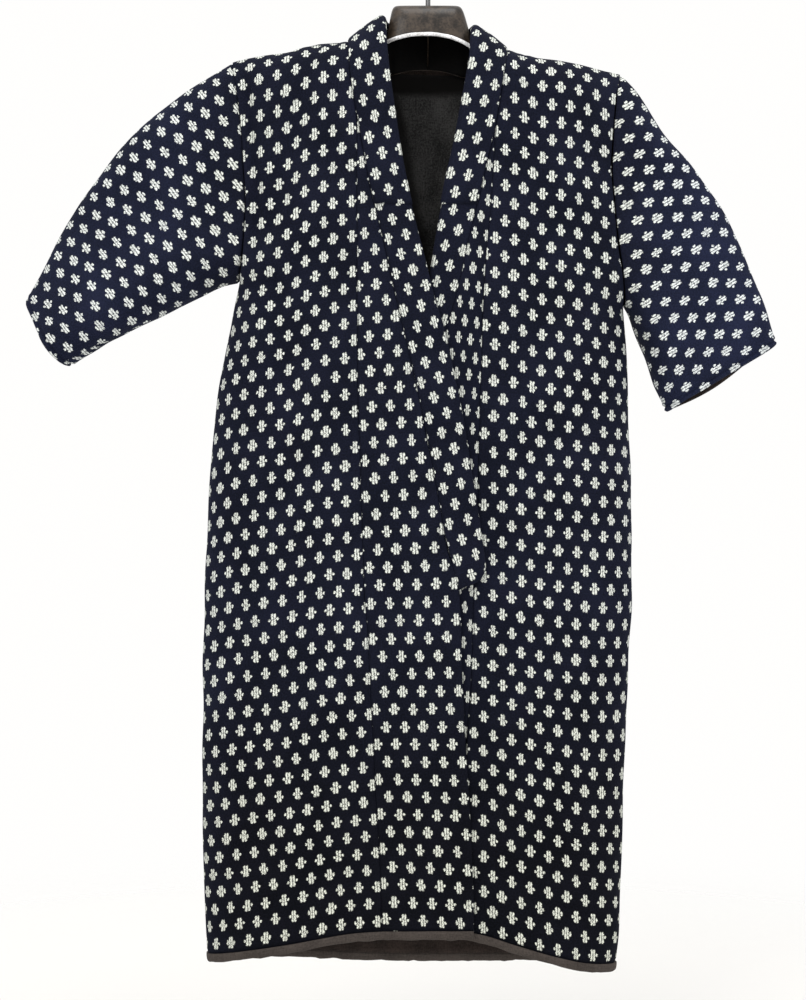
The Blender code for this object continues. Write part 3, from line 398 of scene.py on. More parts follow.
def laid(piece, shown, shown_flat, flat, kept=1.0):
    """Place on the dyed cloth of each place on the flat piece, with figures and rows lying as in the photo.
    They are found on the shown part of the grid. The share kept is how much of the rows' tilt stays."""
    away = -CAMERA[1] / (shown[..., 1] - CAMERA[1])
    seen = np.stack([CAMERA[i] + (shown[..., i] - CAMERA[i]) * away for i in (0, 2)], -1)
    found = []
    for across, down, rise in FIGURES[piece]:
        target = (CAMERA[0] + (across - MIDDLE_PIXEL[0]) * PIXEL,
                  CAMERA[2] - (down - MIDDLE_PIXEL[1]) * PIXEL)
        far = np.linalg.norm(seen - target, axis=-1)[1:-1, 1:-1]
        r, c = np.add(np.unravel_index(far.argmin(), far.shape), 1)
        seen_steps = np.stack([seen[r + 1, c] - seen[r - 1, c], seen[r, c + 1] - seen[r, c - 1]])
        flat_steps = np.stack([shown_flat[r + 1, c] - shown_flat[r - 1, c],
                               shown_flat[r, c + 1] - shown_flat[r, c - 1]])
        change = np.linalg.solve(seen_steps, flat_steps)
        place = shown_flat[r, c] + (target - seen[r, c]) @ change
        row = np.array((math.cos(math.radians(rise)), math.sin(math.radians(rise)))) @ change
        found.append((place[1], -row[1] / row[0], place[0]))
    level, tilt, middle = found[0]
    moves = [(level, 0.0, 0.0)]
    # Nearest first, each further figure is moved to the knot of the pattern that it is closest to
    for own_level, own_tilt, own_middle in sorted(found[1:], key=lambda entry: abs(entry[0] - level)):
        _, u_move, v_move = min(moves, key=lambda move: abs(move[0] - own_level))
        u = own_middle - middle
        v = own_level - level + own_tilt * u
        row = round((v + v_move) / FIGURE_DOWN)
        shift = 0.5 * (row % 2)
        column = round((u + u_move) / FIGURE_ACROSS + shift) - shift
        moves.append((own_level, column * FIGURE_ACROSS - u, row * FIGURE_DOWN - v))
    u = flat[..., 0] - middle
    v = flat[..., 1] - level
    if len(found) > 1:
        levels = [entry[0] for entry in found]
        reach = np.clip(flat[..., 1], min(levels), max(levels))
        tilt = value(found, reach)
        u_move, v_move = value(moves, reach, 1), value(moves, reach, 2)
    else:
        u_move, v_move = 0.0, 0.0
    v = v + kept * tilt * u + v_move
    return np.stack([u + u_move + FIGURE_ACROSS / 2, v + FIGURE_DOWN / 2], -1)


# Grids

def grid_normals(points, closed=False, toward=None):
    """Normals of a grid by its neighbours, turned towards a direction or away from the grid's own middle."""
    if closed:
        around = np.roll(points, -1, axis=1) - np.roll(points, 1, axis=1)
    else:
        around = np.gradient(points, axis=1)
    normals = unit(np.cross(around, np.gradient(points, axis=0)))
    if toward is None:
        toward = points - points.mean(axis=1, keepdims=True)
    return normals if (normals * toward).sum() > 0 else -normals


def run(points, axis):
    """Distance gone along a grid's axis."""
    steps = np.linalg.norm(np.diff(points, axis=axis), axis=2)
    gone = np.cumsum(steps, axis=axis)
    return np.concatenate([np.zeros_like(gone.take([0], axis)), gone], axis)


def gone_along(line):
    """Distance gone along a line of points."""
    return np.concatenate([[0], np.cumsum(np.linalg.norm(np.diff(line, axis=0), axis=1))])


def fullness(points, left=None, right=None, first=None, last=None, reach=SEAM_REACH):
    """Share of the padding's thickness at each point: less at a seam, none at a free edge."""
    across, along = run(points, 1), run(points, 0)
    full = np.ones(points.shape[:2])
    sides = ((left, across), (right, across[:, -1:] - across), (first, along), (last, along[-1:] - along))
    for least, distance in sides:
        if least is not None:
            full = np.minimum(full, least + (1 - least) * arc(distance / reach))
    return full


def lumps(a, b, seed, size, height):
    """Soft unevenness of the padding, as a sum of long waves."""
    rng = np.random.default_rng(seed)
    total = np.zeros(np.broadcast(a, b).shape)
    for _ in range(LUMP_WAVES):
        angle, phase = rng.uniform(0, 2 * math.pi, 2)
        wave = 2 * math.pi / (size * rng.uniform(0.6, 1.7))
        total += np.sin(wave * (a * math.cos(angle) + b * math.sin(angle)) + phase)
    return total * height / (LUMP_WAVES / 2)


def linked(name, data):
    """A new object in the scene."""
    item = bpy.data.objects.new(name, data)
    bpy.context.scene.collection.objects.link(item)
    return item


def add_mesh(name, points, faces, uv, slots, materials):
    """A smooth-shaded mesh of four-cornered faces, turned outwards, mapped to the flat cloth in metres."""
    corners = points[faces]
    volume = sum((corners[:, 0] * np.cross(corners[:, i], corners[:, i + 1])).sum() for i in (1, 2))
    if volume < 0:
        faces, uv = faces[:, ::-1], uv[:, ::-1]
    used, back = np.unique(faces, return_inverse=True)
    faces = back.reshape(faces.shape)
    mesh = bpy.data.meshes.new(name)
    mesh.from_pydata(points[used].tolist(), [], faces.tolist())
    mesh.uv_layers.new(name="Cloth").data.foreach_set("uv", np.array(uv, np.float32).reshape(-1))
    mesh.polygons.foreach_set("material_index", np.array(slots, np.int32))
    mesh.polygons.foreach_set("use_smooth", np.ones(len(faces), bool))
    for material in materials:
        mesh.materials.append(material)
    return linked(name, mesh)


def wall(name, outer, inner, uv, materials, mask=None, closed=False, rim_slot=0):
    """A closed wall between two grids, its outer face of the first material, its inner one of the last."""
    rows, columns = outer.shape[:2]
    spans = columns if closed else columns - 1
    if mask is None:
        mask = np.ones((rows - 1, spans), bool)
    beyond = np.pad(mask, 1)
    if closed:
        beyond[:, 0], beyond[:, -1] = beyond[:, -2], beyond[:, 1]
    r, c = np.nonzero(mask)
    ring = ((r, c), (r, c + 1), (r + 1, c + 1), (r + 1, c))

    def corner(place, face):
        return place[0] * columns + place[1] % columns + face * rows * columns

    faces, charts = [], []
    for face, way in ((0, ring), (1, ring[::-1])):
        faces.append(np.stack([corner(place, face) for place in way], 1))
        charts.append(np.stack([uv[place] for place in way], 1))
    slots = [np.zeros(len(r)), np.full(len(r), len(materials) - 1)]
    for i, (down, right) in enumerate(((-1, 0), (0, 1), (1, 0), (0, -1))):
        rim = ~beyond[r + 1 + down, c + 1 + right]
        a = tuple(part[rim] for part in ring[i])
        b = tuple(part[rim] for part in ring[(i + 1) % 4])
        faces.append(np.stack([corner(b, 0), corner(a, 0), corner(a, 1), corner(b, 1)], 1))
        charts.append(np.stack([uv[b], uv[a], uv[a], uv[b]], 1))
        slots.append(np.full(rim.sum(), rim_slot))
    points = np.concatenate([outer.reshape(-1, 3), inner.reshape(-1, 3)])
    faces, charts, slots = map(np.concatenate, (faces, charts, slots))
    return add_mesh(name, points, faces, charts, slots, materials)


def swept(name, loops, uv, materials):
    """A closed tube through loops of points, its ends filled with fans. The uv has one more column."""
    count, around = loops.shape[:2]
    r, c = (part.reshape(-1) for part in np.mgrid[:count - 1, :around])
    ring = ((r, c), (r, c + 1), (r + 1, c + 1), (r + 1, c))
    faces = np.stack([place[0] * around + place[1] % around for place in ring], 1)
    charts = np.stack([uv[place] for place in ring], 1)
    item = add_mesh(name, loops.reshape(-1, 3), faces, charts, np.zeros(len(faces)), materials)
    work = bmesh.new()
    work.from_mesh(item.data)
    made = bmesh.ops.holes_fill(work, edges=[edge for edge in work.edges if edge.is_boundary])["faces"]
    bmesh.ops.poke(work, faces=made)
    work.to_mesh(item.data)
    work.free()
    return item


def padded_wall(name, points, normals, full, uv, materials, mask=None, closed=False):
    """A wall below its outer points, thinned towards its own middle where the share full is less than 1."""
    half, share = WALL / 2, full[..., None]
    outer = points - normals * half * (1 - share)
    inner = points - normals * half * (1 + share)
    return wall(name, outer, inner, uv, materials, mask, closed)


# Folds and creases: sheet, path as z and x, width, height, and the length over which it fades at its ends
FOLDS = (
    ("over", ((-0.10, -0.112), (-0.17, -0.112), (-0.27, -0.112)), 0.006, -0.0030, 0.05),
    ("over", ((-0.12, -0.134), (-0.236, -0.162), (-0.284, -0.174), (-0.333, -0.190)), 0.010, -0.0045, 0.04),
    ("over", ((-0.176, -0.2155), (-0.260, -0.2085), (-0.304, -0.2060), (-0.348, -0.2085)), 0.006, -0.0065,
     0.04),
    ("over", ((-0.40, -0.180), (-0.45, -0.173), (-0.55, -0.167), (-0.66, -0.165)), 0.009, -0.0035, 0.06),
    ("under", ((-0.115, 0.110), (-0.18, 0.117), (-0.25, 0.129), (-0.35, 0.134)), 0.007, -0.0034, 0.05),
)


def relief(x, z, sheet):
    """Height of the folds over the smooth form."""
    total = np.zeros(np.broadcast(x, z).shape)
    for where, path, width, height, fade in FOLDS:
        if where != sheet:
            continue
        top, bottom = path[0][0], path[-1][0]
        strength = smooth((top + fade - z) / fade) * smooth((z - bottom + fade) / fade)
        total += height * strength * np.exp(-((x - value(path, z)) / width) ** 2)
    return total


# Panels

# Shares of the way down at which the rounding of the shoulder, and that of the armpit, has rows of its own
SHOULDER_ROWS = (0, 0.0023, 0.0090, 0.0194, 0.0326, 0.0472)
ARMPIT_ROWS = (0.207, 0.2217, 0.2349, 0.2453, 0.2520, ARMPIT)
# Shares of a sleeve's length at which its cuff has rows of its own
CUFF_ROWS = (0.962, 0.968, 0.973, 0.978, 0.983, 0.988, 0.992, 0.996, 1.0)
FRONT_ROWS = refine((*SHOULDER_ROWS, OKUMI_START, ARMPIT, COLLAR_LAST, COLLAR_END, 1.0), STEP / LENGTH)
# x of the warp from which each body's cloth is measured across
WARP = {"over": -0.070, "under": 0.060}
# z of the collar's end and of the hem at the front edges, and the front edge's x at each
EDGE_Z = (-0.757, -1.180)
EDGE_X = {"over": (0.0356, 0.0534), "under": (-0.029, -0.0464)}
# Distances from a seam at which a panel has extra columns
CLOSE = np.array((0.0008, 0.002, 0.004, 0.008))
# About how wide a front, a back and an okumi are, for those distances
FRONT_WIDTH = 0.165
BACK_WIDTH = 0.24
OKUMI_WIDTH = 0.11
# The rows of the cloth lie along the hem from this far down the back
BACK_LEVEL = 0.25
# Degrees by which each sleeve's warp falls away from level, and about how long a sleeve is
SLEEVE_WARP = {-1: 38, 1: 58}
SLEEVE_LENGTH = 0.36
# Share of a sleeve's length over which its direction is taken
SLEEVE_STEP = 0.04
# The cuff's back layer starts to hang past the front one here, as a share of the sleeve's length, and between
# these shares of the way from the upper fold to the lower one
CUFF_FROM = 0.88
CUFF_SPREAD = (0.25, 0.97)
FRONTWARD, UPWARD = np.array((0.0, -1.0, 0.0)), np.array((0.0, 0.0, 1.0))
# Seeds of each piece's lumps; those of a piece that comes twice are moved by its side
BODY_SEED, OKUMI_SEED, SLEEVE_SEED, COLLAR_SEED = 11, 21, 31, 41
BAND_SEED, BAND_FINE_SEED, LINING_SEED = 51, 52, 61
# Columns round a side's turn, across the rest of a front, across half the back, and across an okumi
TURN_COLUMNS, FLAT_COLUMNS, BACK_COLUMNS, OKUMI_COLUMNS = 22, 9, 16, 17
# A front keeps its full thickness in its first rows, but for its last columns, beside the collar
FULL_ROWS, THIN_COLUMNS = 6, 6


def near_edge(shares, width, first=False, digits=5):
    """Adds columns close to the last end of a panel, or to both, for its seams."""
    close = CLOSE / width
    parts = [shares, 1 - close] + ([close] if first else [])
    return np.unique(np.round(np.concatenate(parts), digits))


def front_columns():
    """Shares across a front, closer together on its rounded side."""
    turn = SIDE_ROUND / FRONT_WIDTH
    angles = np.linspace(0, math.pi / 2, TURN_COLUMNS)
    shares = np.concatenate([turn * (1 - np.cos(angles)), np.linspace(turn, 1, FLAT_COLUMNS)])
    return near_edge(shares, FRONT_WIDTH)


def front_grid(sheet, columns):
    """Points of a front: rows from the shoulder down, columns from the side to the collar or the okumi."""
    side = SIDES[sheet]
    edge = on_line(lambda z: edge_x(z, side), FRONT_ROWS, side, 0.0)[0]
    high = on_line(collar_seam(sheet), FRONT_ROWS, side, 1.0)[0]
    low = on_line(okumi_seam(sheet), FRONT_ROWS, side, 1.0)[0]
    inside = np.where(FRONT_ROWS < OKUMI_START - ROUNDING, high, low)
    share = columns[None, :]
    x = mix(edge[:, None], inside[:, None], share)
    z = row_z(FRONT_ROWS[:, None], x, side, share)
    y = np.minimum(face_y(x, z, sheet), -SEAM_GAP / 2)
    y[0] = 0.0
    y[FRONT_ROWS >= ARMPIT - ROUNDING, 0] = -SEAM_GAP / 2
    return np.stack([x, y, z], -1)


def neck_line(x0, side):
    """y and z of the neck seam behind the neck at x."""
    seam = SEAM_OVER[0] if side < 0 else SEAM_UNDER[0]
    start = (seam[1], 0.0, float(value(ROW_TOP, seam[1])))
    table = (start,) + tuple(row[:3] for row in NECK)
    return value(table, x0, 1), value(table, x0, 2)


def back_grid(sheet, columns):
    """Columns up to the neck's side carry on from the front; further ones reach the centre seam."""
    side = SIDES[sheet]
    front = front_grid(sheet, np.array((0.0, 1.0)))
    edge, edge_height = on_line(lambda z: edge_x(z, side), FRONT_ROWS, side, 0.0)
    top_x, seam_x, centre_x = front[0, 0, 0], front[0, 1, 0], CENTRE_BACK[0][1]
    half = (seam_x - top_x) / (centre_x - top_x)
    shares = np.concatenate([columns * half, np.linspace(half, 1, BACK_COLUMNS)[1:]])
    shares = near_edge(shares, BACK_WIDTH, digits=6)
    share = shares[None, :]
    beside_neck = share <= half + ROUNDING
    fraction = FRONT_ROWS[:, None]
    wide = mix(edge[:, None], value(CENTRE_BACK, edge_height)[:, None], share)
    z_side = row_z(fraction, wide, side, np.minimum(share / half, 1.0), back=True)
    start_x = top_x + share * (centre_x - top_x)
    start_y, start_z = neck_line(start_x, side)
    z = np.where(beside_neck, z_side, mix(start_z, hem_z(start_x, "back"), fraction))
    x = mix(edge_x(z, side), value(CENTRE_BACK, z), share)
    x[0] = start_x[0]
    fade = np.maximum(0.0, 1 - (start_z - z) / NECK_FADE) ** 2
    lift = np.where(beside_neck, 0.0, (start_y - face_y(start_x, start_z, "back")) * fade)
    y = np.maximum(face_y(x, z, "back") + lift, SEAM_GAP / 2)
    y[0] = np.where(beside_neck[0], 0.0, start_y[0])
    y[FRONT_ROWS >= ARMPIT - ROUNDING, 0] = SEAM_GAP / 2
    return np.stack([x, y, z], -1)


def on_the_level(points):
    """Distance gone across each row as seen from above, from its last point back."""
    gone = run(points * np.array((1.0, 1.0, 0.0)), 1)
    return gone[:, -1:] - gone


def over_shoulder(front, back, rest):
    """One grid of the front's rows going up and the back's going down; rest fills what the front lacks."""
    high = np.zeros((len(front) - 1, *back.shape[1:])) + rest
    high[:, :front.shape[1]] = front[1:][::-1]
    return np.concatenate([high, back])


def body_strip(name, sheet, materials):
    """Front, over the shoulder, and back to the centre seam, in one length of cloth."""
    side = SIDES[sheet]
    columns = front_columns()
    front, back = front_grid(sheet, columns), back_grid(sheet, columns)
    rows, wide = front.shape[:2]
    front_normals, back_normals = grid_normals(front, toward=FRONTWARD), grid_normals(back, toward=-FRONTWARD)
    front_normals[0] = back_normals[0, :wide] = unit(front_normals[0] + back_normals[0, :wide])
    for normals in (front_normals, back_normals):
        normals[FRONT_ROWS >= ARMPIT, 0] = (side, 0.0, 0.0)
    down = run(front, 0)[:, wide // 2]
    front_u = (front[:, -1, 0] - WARP[sheet])[:, None] + side * on_the_level(front)
    back_u = side * on_the_level(back)
    back_u += front_u[0, 0] - back_u[0, 0]
    front_full, back_full = (fullness(part, left=SEAM_FULL, right=SEAM_FULL, last=HEM_FULL)
                             for part in (front, back))
    front_full[:FULL_ROWS, :-THIN_COLUMNS] = 1.0
    x, z = front[..., 0], front[..., 2]
    height = relief(x, z, sheet) + lumps(x, z, BODY_SEED + side, *BODY_LUMPS)
    points = over_shoulder(front + front_normals * height[..., None], back, 0.0)
    normals = over_shoulder(front_normals, back_normals, FRONTWARD)
    full = over_shoulder(front_full, back_full, 1.0)
    front_uv = np.stack(np.broadcast_arrays(front_u, down[:, None]), -1)
    uv = over_shoulder(front_uv, np.stack(np.broadcast_arrays(back_u, -down[:, None]), -1), 0.0)
    shown = (slice(0, rows - 1), slice(0, wide))
    kept = smooth((uv[..., 1] + BACK_LEVEL) / BACK_LEVEL)
    uv = laid("body_" + HANDS[sheet], points[shown], uv[shown], uv, kept)
    mask = np.ones((2 * rows - 2, back.shape[1] - 1), bool)
    mask[:rows - 1, wide - 1:] = False
    item = padded_wall(name, points, normals, full, uv, materials, mask)
    front_hem, back_hem = points[0, :wide][::-1], points[-1]
    hem = [(front_hem, front_hem - normals[0, :wide][::-1] * WALL), (back_hem, back_hem - normals[-1] * WALL)]
    return item, hem, (points[rows - 1:], normals[rows - 1:])


def okumi_panel(name, sheet, materials):
    """The panel between a front and the collar, whose edge is free below the collar's end."""
    side = SIDES[sheet]
    low = FRONT_ROWS >= OKUMI_START - ROUNDING
    rows = FRONT_ROWS[low]
    start_x, start_z = on_line(okumi_seam(sheet), rows, side, 1.0)
    end_x, end_z = on_line(collar_seam(sheet), rows, side, 1.0)
    share = near_edge(np.linspace(0, 1, OKUMI_COLUMNS), OKUMI_WIDTH, first=True)[None, :]
    x = mix(start_x[:, None], end_x[:, None], share)
    z = mix(start_z[:, None], end_z[:, None], share)
    points = np.stack([x, face_y(x, z, sheet), z], -1)
    normals = grid_normals(points, toward=FRONTWARD)
    down = run(front_grid(sheet, np.array((0.0, 0.5, 1.0))), 0)[:, 1][low]
    line = mix(*EDGE_X[sheet], (EDGE_Z[0] - z) / (EDGE_Z[0] - EDGE_Z[1]))
    flat = np.stack(np.broadcast_arrays(x - line, down[:, None]), -1)
    if sheet == "under":
        flat[..., 0] *= FIGURE_ACROSS / FIGURE_ACROSS_LOWER_OKUMI
    uv = laid("okumi_" + HANDS[sheet], points, flat, flat)
    full = fullness(points, left=SEAM_FULL, last=HEM_FULL)
    free = fullness(points, right=0.0, reach=FREE_REACH)
    seam = fullness(points, right=SEAM_FULL)
    full = np.minimum(full, np.where((rows >= COLLAR_END - ROUNDING)[:, None], free, seam))
    points = points + normals * lumps(x, z, OKUMI_SEED + side, *BODY_LUMPS)[..., None]
    item = padded_wall(name, points, normals, full, uv, materials)
    return item, (points[-1, ::-1], points[-1, ::-1] - normals[-1, ::-1] * WALL)


def sleeve_faces(side):
    """The back and the front face of a sleeve: rows from armhole to cuff, columns from upper fold down."""
    table = SLEEVES[side]
    drops = refine((*SHOULDER_ROWS, *ARMPIT_ROWS), STEP / LENGTH)
    edge_line, edge_height = on_line(lambda z: edge_x(z, side), drops, side, 0.0)
    s = refine((0.0, *CUFF_ROWS), STEP / SLEEVE_LENGTH)[:, None]
    g = ((edge_height[0] - edge_height) / (edge_height[0] - edge_height[-1]))[None, :]

    def fold(at, first):
        return np.stack([value(table, at, column) for column in range(first, first + 3)], -1)

    top, bottom = fold(s, 1), fold(s, 4)
    ahead = np.minimum(s + SLEEVE_STEP / 2, 1.0)
    behind = ahead - SLEEVE_STEP
    axis = (fold(ahead, 1) - fold(behind, 1)) + (fold(ahead, 4) - fold(behind, 4))
    front = unit(np.cross(bottom - top, axis)) * side
    front = unit(mix(FRONTWARD, front, smooth(s / SLEEVE_TURN)[..., None]))
    length = np.linalg.norm(bottom - top, axis=-1)
    base = mix(top, bottom, g[..., None])
    base[..., 0] += (edge_line - mix(edge_line[0], edge_line[-1], g)) * (1 - s) ** 2
    rounding = value(table, s, 8)
    lens = value(table, s, 7) * arc(g * length / rounding) * arc((1 - g) * length / rounding)
    faces = [base - front * lens[..., None], base + front * lens[..., None]]
    at_armhole = armhole_depth(edge_height[0] - edge_height, edge_height, side)
    for way, points in zip((1, -1), faces):
        points[0, :, 1] = way * at_armhole
    # The back layer of the cuff hangs a little past the front one
    low, high = CUFF_SPREAD
    spread = np.sin(math.pi * np.clip((g - low) / (high - low), 0.0, 1.0))
    past = CUFF_PAST * smooth((s - CUFF_FROM) / (1 - CUFF_FROM)) * spread
    faces[0] = faces[0] + unit(axis) * past[..., None]
    return faces


def sleeve(name, sheet, materials):
    """A flattened tube from the armhole to the cuff, from the lower fold up the back and down the front."""
    side = SIDES[sheet]
    back, front = sleeve_faces(side)
    loop = np.concatenate([back[:, ::-1], front[:, 1:]], axis=1)
    angle = math.radians(SLEEVE_WARP[side])
    along = np.array((side * math.cos(angle), 0.0, -math.sin(angle)))
    down = np.array((-side * math.sin(angle), 0.0, -math.cos(angle)))
    fold = back.shape[1] - 1
    steps = np.diff(loop, axis=1)
    steps = np.sqrt((steps @ down) ** 2 + steps[..., 1] ** 2)
    gone = np.concatenate([np.zeros((len(loop), 1)), np.cumsum(steps, axis=1)], axis=1)
    flat = np.stack([loop @ along, loop[:, fold:fold + 1] @ down + gone - gone[:, fold:fold + 1]], -1)
    uv = laid("sleeve_" + HANDS[sheet], loop[:, fold:], flat[:, fold:], flat)
    points = loop[:, :-1]
    normals = grid_normals(points, closed=True)
    full = fullness(points, first=SEAM_FULL, last=0.0)
    to_cuff = run(points, 0)
    to_cuff = to_cuff[-1:] - to_cuff
    lift = lumps(uv[:, :-1, 0], uv[:, :-1, 1], SLEEVE_SEED + side, *SLEEVE_LUMPS)
    for place, width, height in CUFF_EDGES:
        lift += height * np.exp(-((to_cuff - place) / width) ** 2)
    return padded_wall(name, points + normals * lift[..., None], normals, full, uv, materials, closed=True)


# Collar

# Points of its section: way from the seam where its face rises, how far below the cloth's face it starts
# there, where the evenly spaced points begin and how many they are, steps round its free edge, and shares of
# its flat width on the underside
COLLAR_RISE = (0.0, 0.0005, 0.0012, 0.0025, 0.0045)
COLLAR_SUNK = 0.0012
COLLAR_EVEN, COLLAR_POINTS = 0.008, 8
COLLAR_STEPS = 10
COLLAR_UNDER = (0.65, 0.30, 0.0)
# How much its face swells in the middle, and the length and height of its uneven swelling along it
COLLAR_CROWN = 0.0008
COLLAR_SWELL = (0.05, 0.0005)
# Below this height, over this fade, the under front's collar goes level with its cloth
COLLAR_FLAT, COLLAR_FADE = -0.355, 0.04
# Points along it behind the neck, and along each of its rounded ends
NECK_POINTS, END_POINTS = 56, 16
# Length over which the collar's tips and the over-collar's ends grow to full thickness, and from what share
TIP = 0.0045
OVER_COLLAR_TIP = 0.003
TIP_FULL = 0.25
OVER_COLLAR_FULL = 0.3
# Length behind the neck over which the right half's figures give way to the left half's
NECK_BLEND = 0.2


def collar_line():
    """Seam and free edge points of the collar, from the over end round the neck to the under end."""
    ends = []
    rows = FRONT_ROWS[FRONT_ROWS <= COLLAR_LAST + ROUNDING]
    for sheet, side in SIDES.items():
        x, z = on_line(collar_seam(sheet), np.append(rows, COLLAR_END), side, 1.0)
        seam = np.stack([x, face_y(x, z, sheet), z], 1)
        seam, corner = seam[:-1], seam[-1]
        free_z = seam[:, 2] + value(FREE_RISE, seam[0, 2] - seam[:, 2])
        free_x = value(FREE_EDGES[sheet], free_z)
        free = np.stack([free_x, face_y(free_x, free_z, sheet), free_z], 1)
        seam[0, 1] = free[0, 1] = 0.0
        shares = np.sin(np.linspace(0, math.pi / 2, END_POINTS)[1:])
        table = ((0, free[-1, 0], free[-1, 2]),) + ENDS[sheet]
        tail_x, tail_z = value(table, shares, 1), value(table, shares, 2)
        tail = np.stack([tail_x, face_y(tail_x, tail_z, sheet), tail_z], 1)
        seam = np.concatenate([seam, mix(seam[-1], corner, shares[:, None])])
        ends.append((seam, np.concatenate([free, tail])))
    (over_seam, over_free), (under_seam, under_free) = ends
    rows = [(*over_seam[0], *over_free[0]), *NECK, (*under_seam[0], *under_free[0])]
    table = [(i, *row) for i, row in enumerate(rows)]
    t = np.linspace(0, len(rows) - 1, NECK_POINTS)[1:-1]
    neck = np.stack([value(table, t, column) for column in range(1, 7)], 1)
    seam = np.concatenate([over_seam[::-1], neck[:, :3], under_seam])
    free = np.concatenate([over_free[::-1], neck[:, 3:], under_free])
    return seam, free, np.repeat((-1, 0, 1), (len(over_seam), len(neck), len(under_seam)))


def collar_outline(width, proud, crown):
    """Way from the seam and height over the cloth's face, once round the collar's section."""
    radius = COLLAR_THICK / 2
    flat = width - radius
    a = np.concatenate([COLLAR_RISE, np.linspace(COLLAR_EVEN, flat, COLLAR_POINTS)])
    b = (proud + COLLAR_SUNK) * arc(a / COLLAR_RISE[-1]) - COLLAR_SUNK
    b += crown * np.sin(math.pi * np.clip(a / width, 0, 1)) ** 2
    angles = np.linspace(math.pi / 2, -math.pi / 2, COLLAR_STEPS + 1)[1:]
    low = np.array((proud - COLLAR_THICK, proud - COLLAR_THICK, -WALL))
    return np.stack([np.concatenate([a, flat + radius * np.cos(angles), np.array(COLLAR_UNDER) * flat]),
                     np.concatenate([b, proud - radius + radius * np.sin(angles), low])], 1)


def offset_line(line, distance):
    """A line of (a, b) points moved to its left."""
    direction = unit(np.gradient(line, axis=0))
    return line + np.stack([-direction[:, 1], direction[:, 0]], 1) * distance


def collar_laid(piece, loops, flat, where):
    """The right and left half of the collar's cloth, matched behind the neck."""
    halves = []
    for hand, part in (("_right", where < 0), ("_left", where > 0)):
        face = (part, slice(0, COLLAR_FACE))
        halves.append(laid(piece + hand, loops[face], flat[face], flat))
    right, left = halves
    repeat = np.array((FIGURE_ACROSS, 2 * FIGURE_DOWN))
    apart = (left - right)[where == 0].mean(axis=(0, 1))
    share = smooth((flat[..., 1:] + NECK_BLEND / 2) / NECK_BLEND)
    return mix(right, left - np.round(apart / repeat) * repeat, share)


def collar_pieces(materials):
    """The collar, a closed roll, and the over-collar, a thin shell over the collar's upper part."""
    seam, free, where = collar_line()
    across = unit(free - seam)
    normal = unit(np.cross(across, unit(np.gradient(seam + free, axis=0))))
    width = np.linalg.norm(free - seam, axis=1)
    along = gone_along((seam + free) / 2)
    along -= along[len(along) // 2]
    sunk = smooth((COLLAR_FLAT - seam[:, 2]) / COLLAR_FADE)
    proud = COLLAR_PROUD * np.where(where > 0, 1 - sunk, 1.0)
    swell = lumps(along, along * 0.3, COLLAR_SEED, *COLLAR_SWELL)
    tip = np.minimum(along - along[0], along[-1] - along)
    thin = mix(TIP_FULL, 1.0, arc(tip / TIP))
    close = np.where(where != 0, np.maximum(0.0, seam[:, 2] - OVER_COLLAR_END), 1.0)
    thick = OVER_COLLAR_THICK * mix(OVER_COLLAR_FULL, 1.0, arc(close / OVER_COLLAR_TIP))
    covered = (where == 0) | (seam[:, 2] >= OVER_COLLAR_END)
    collar, over = ([], []), ([], [])

    def placed(i, line):
        return seam[i] + across[i] * line[:, :1] + normal[i] * line[:, 1:]

    for i in range(len(seam)):
        line = collar_outline(width[i], proud[i], COLLAR_CROWN + swell[i])
        gone = gone_along(line)
        middle = np.stack([line[:, 0], np.full(len(line), proud[i] - COLLAR_THICK / 2)], 1)
        collar[0].append(mix(placed(i, middle), placed(i, line), thin[i]))
        collar[1].append([*gone, gone[-1] + WALL])
        if covered[i]:
            far, near = (offset_line(line[1:-1], SEAM_GAP + more) for more in (thick[i], 0.0))
            over[0].append(placed(i, np.concatenate([far, near[::-1]])))
            over[1].append([*gone[1:-1], *gone[-2:0:-1], gone[1]])
    made = []
    for name, (loops, gone), part in (("collar", collar, slice(None)), ("over_collar", over, covered)):
        loops, flat = np.array(loops), np.stack(np.broadcast_arrays(gone, along[part][:, None]), -1)
        made.append(swept(name + "_cloth", loops, collar_laid(name, loops, flat, where[part]), materials))
    return made


# Hem band and linings

# Half width and depth of the band's section, the gap above it, how square it is, its points, the length of
# its rounded ends, and the shares of its width and depth there
BAND_HALF = 0.0044
BAND_DEPTH = 0.0105
BAND_GAP = 0.0002
BAND_SQUARE = 0.75
BAND_POINTS = 17
BAND_END = 0.004
BAND_END_WIDTH, BAND_END_DEPTH = 0.5, 0.8
# Way round the band's outside, for its cloth
BAND_ROUND = 0.028
# Gap between the padding and a lining, the lining's thickness, and the size and height of its creases, which
# are shorter across and longer down by these factors
LINING_GAP = 0.0004
LINING_THICK = 0.0015
LINING_CREASES = (0.03, 0.0006)
CREASE_ACROSS, CREASE_DOWN = 3, 0.6
# Shares of the way down the back where each lining begins and ends, and how many side columns it leaves out
NECK_LINING = (0.018, 0.34, 26)
HEM_LINING = (0.89, 2.0, 14)
# Size and height of the band's long lumps and of its short ones
BAND_LUMPS = (0.03, 0.07)
BAND_FINE_LUMPS = (0.009, 0.04)
# Points closer together than this are left out of the hem's line
HEM_APART = 0.0009


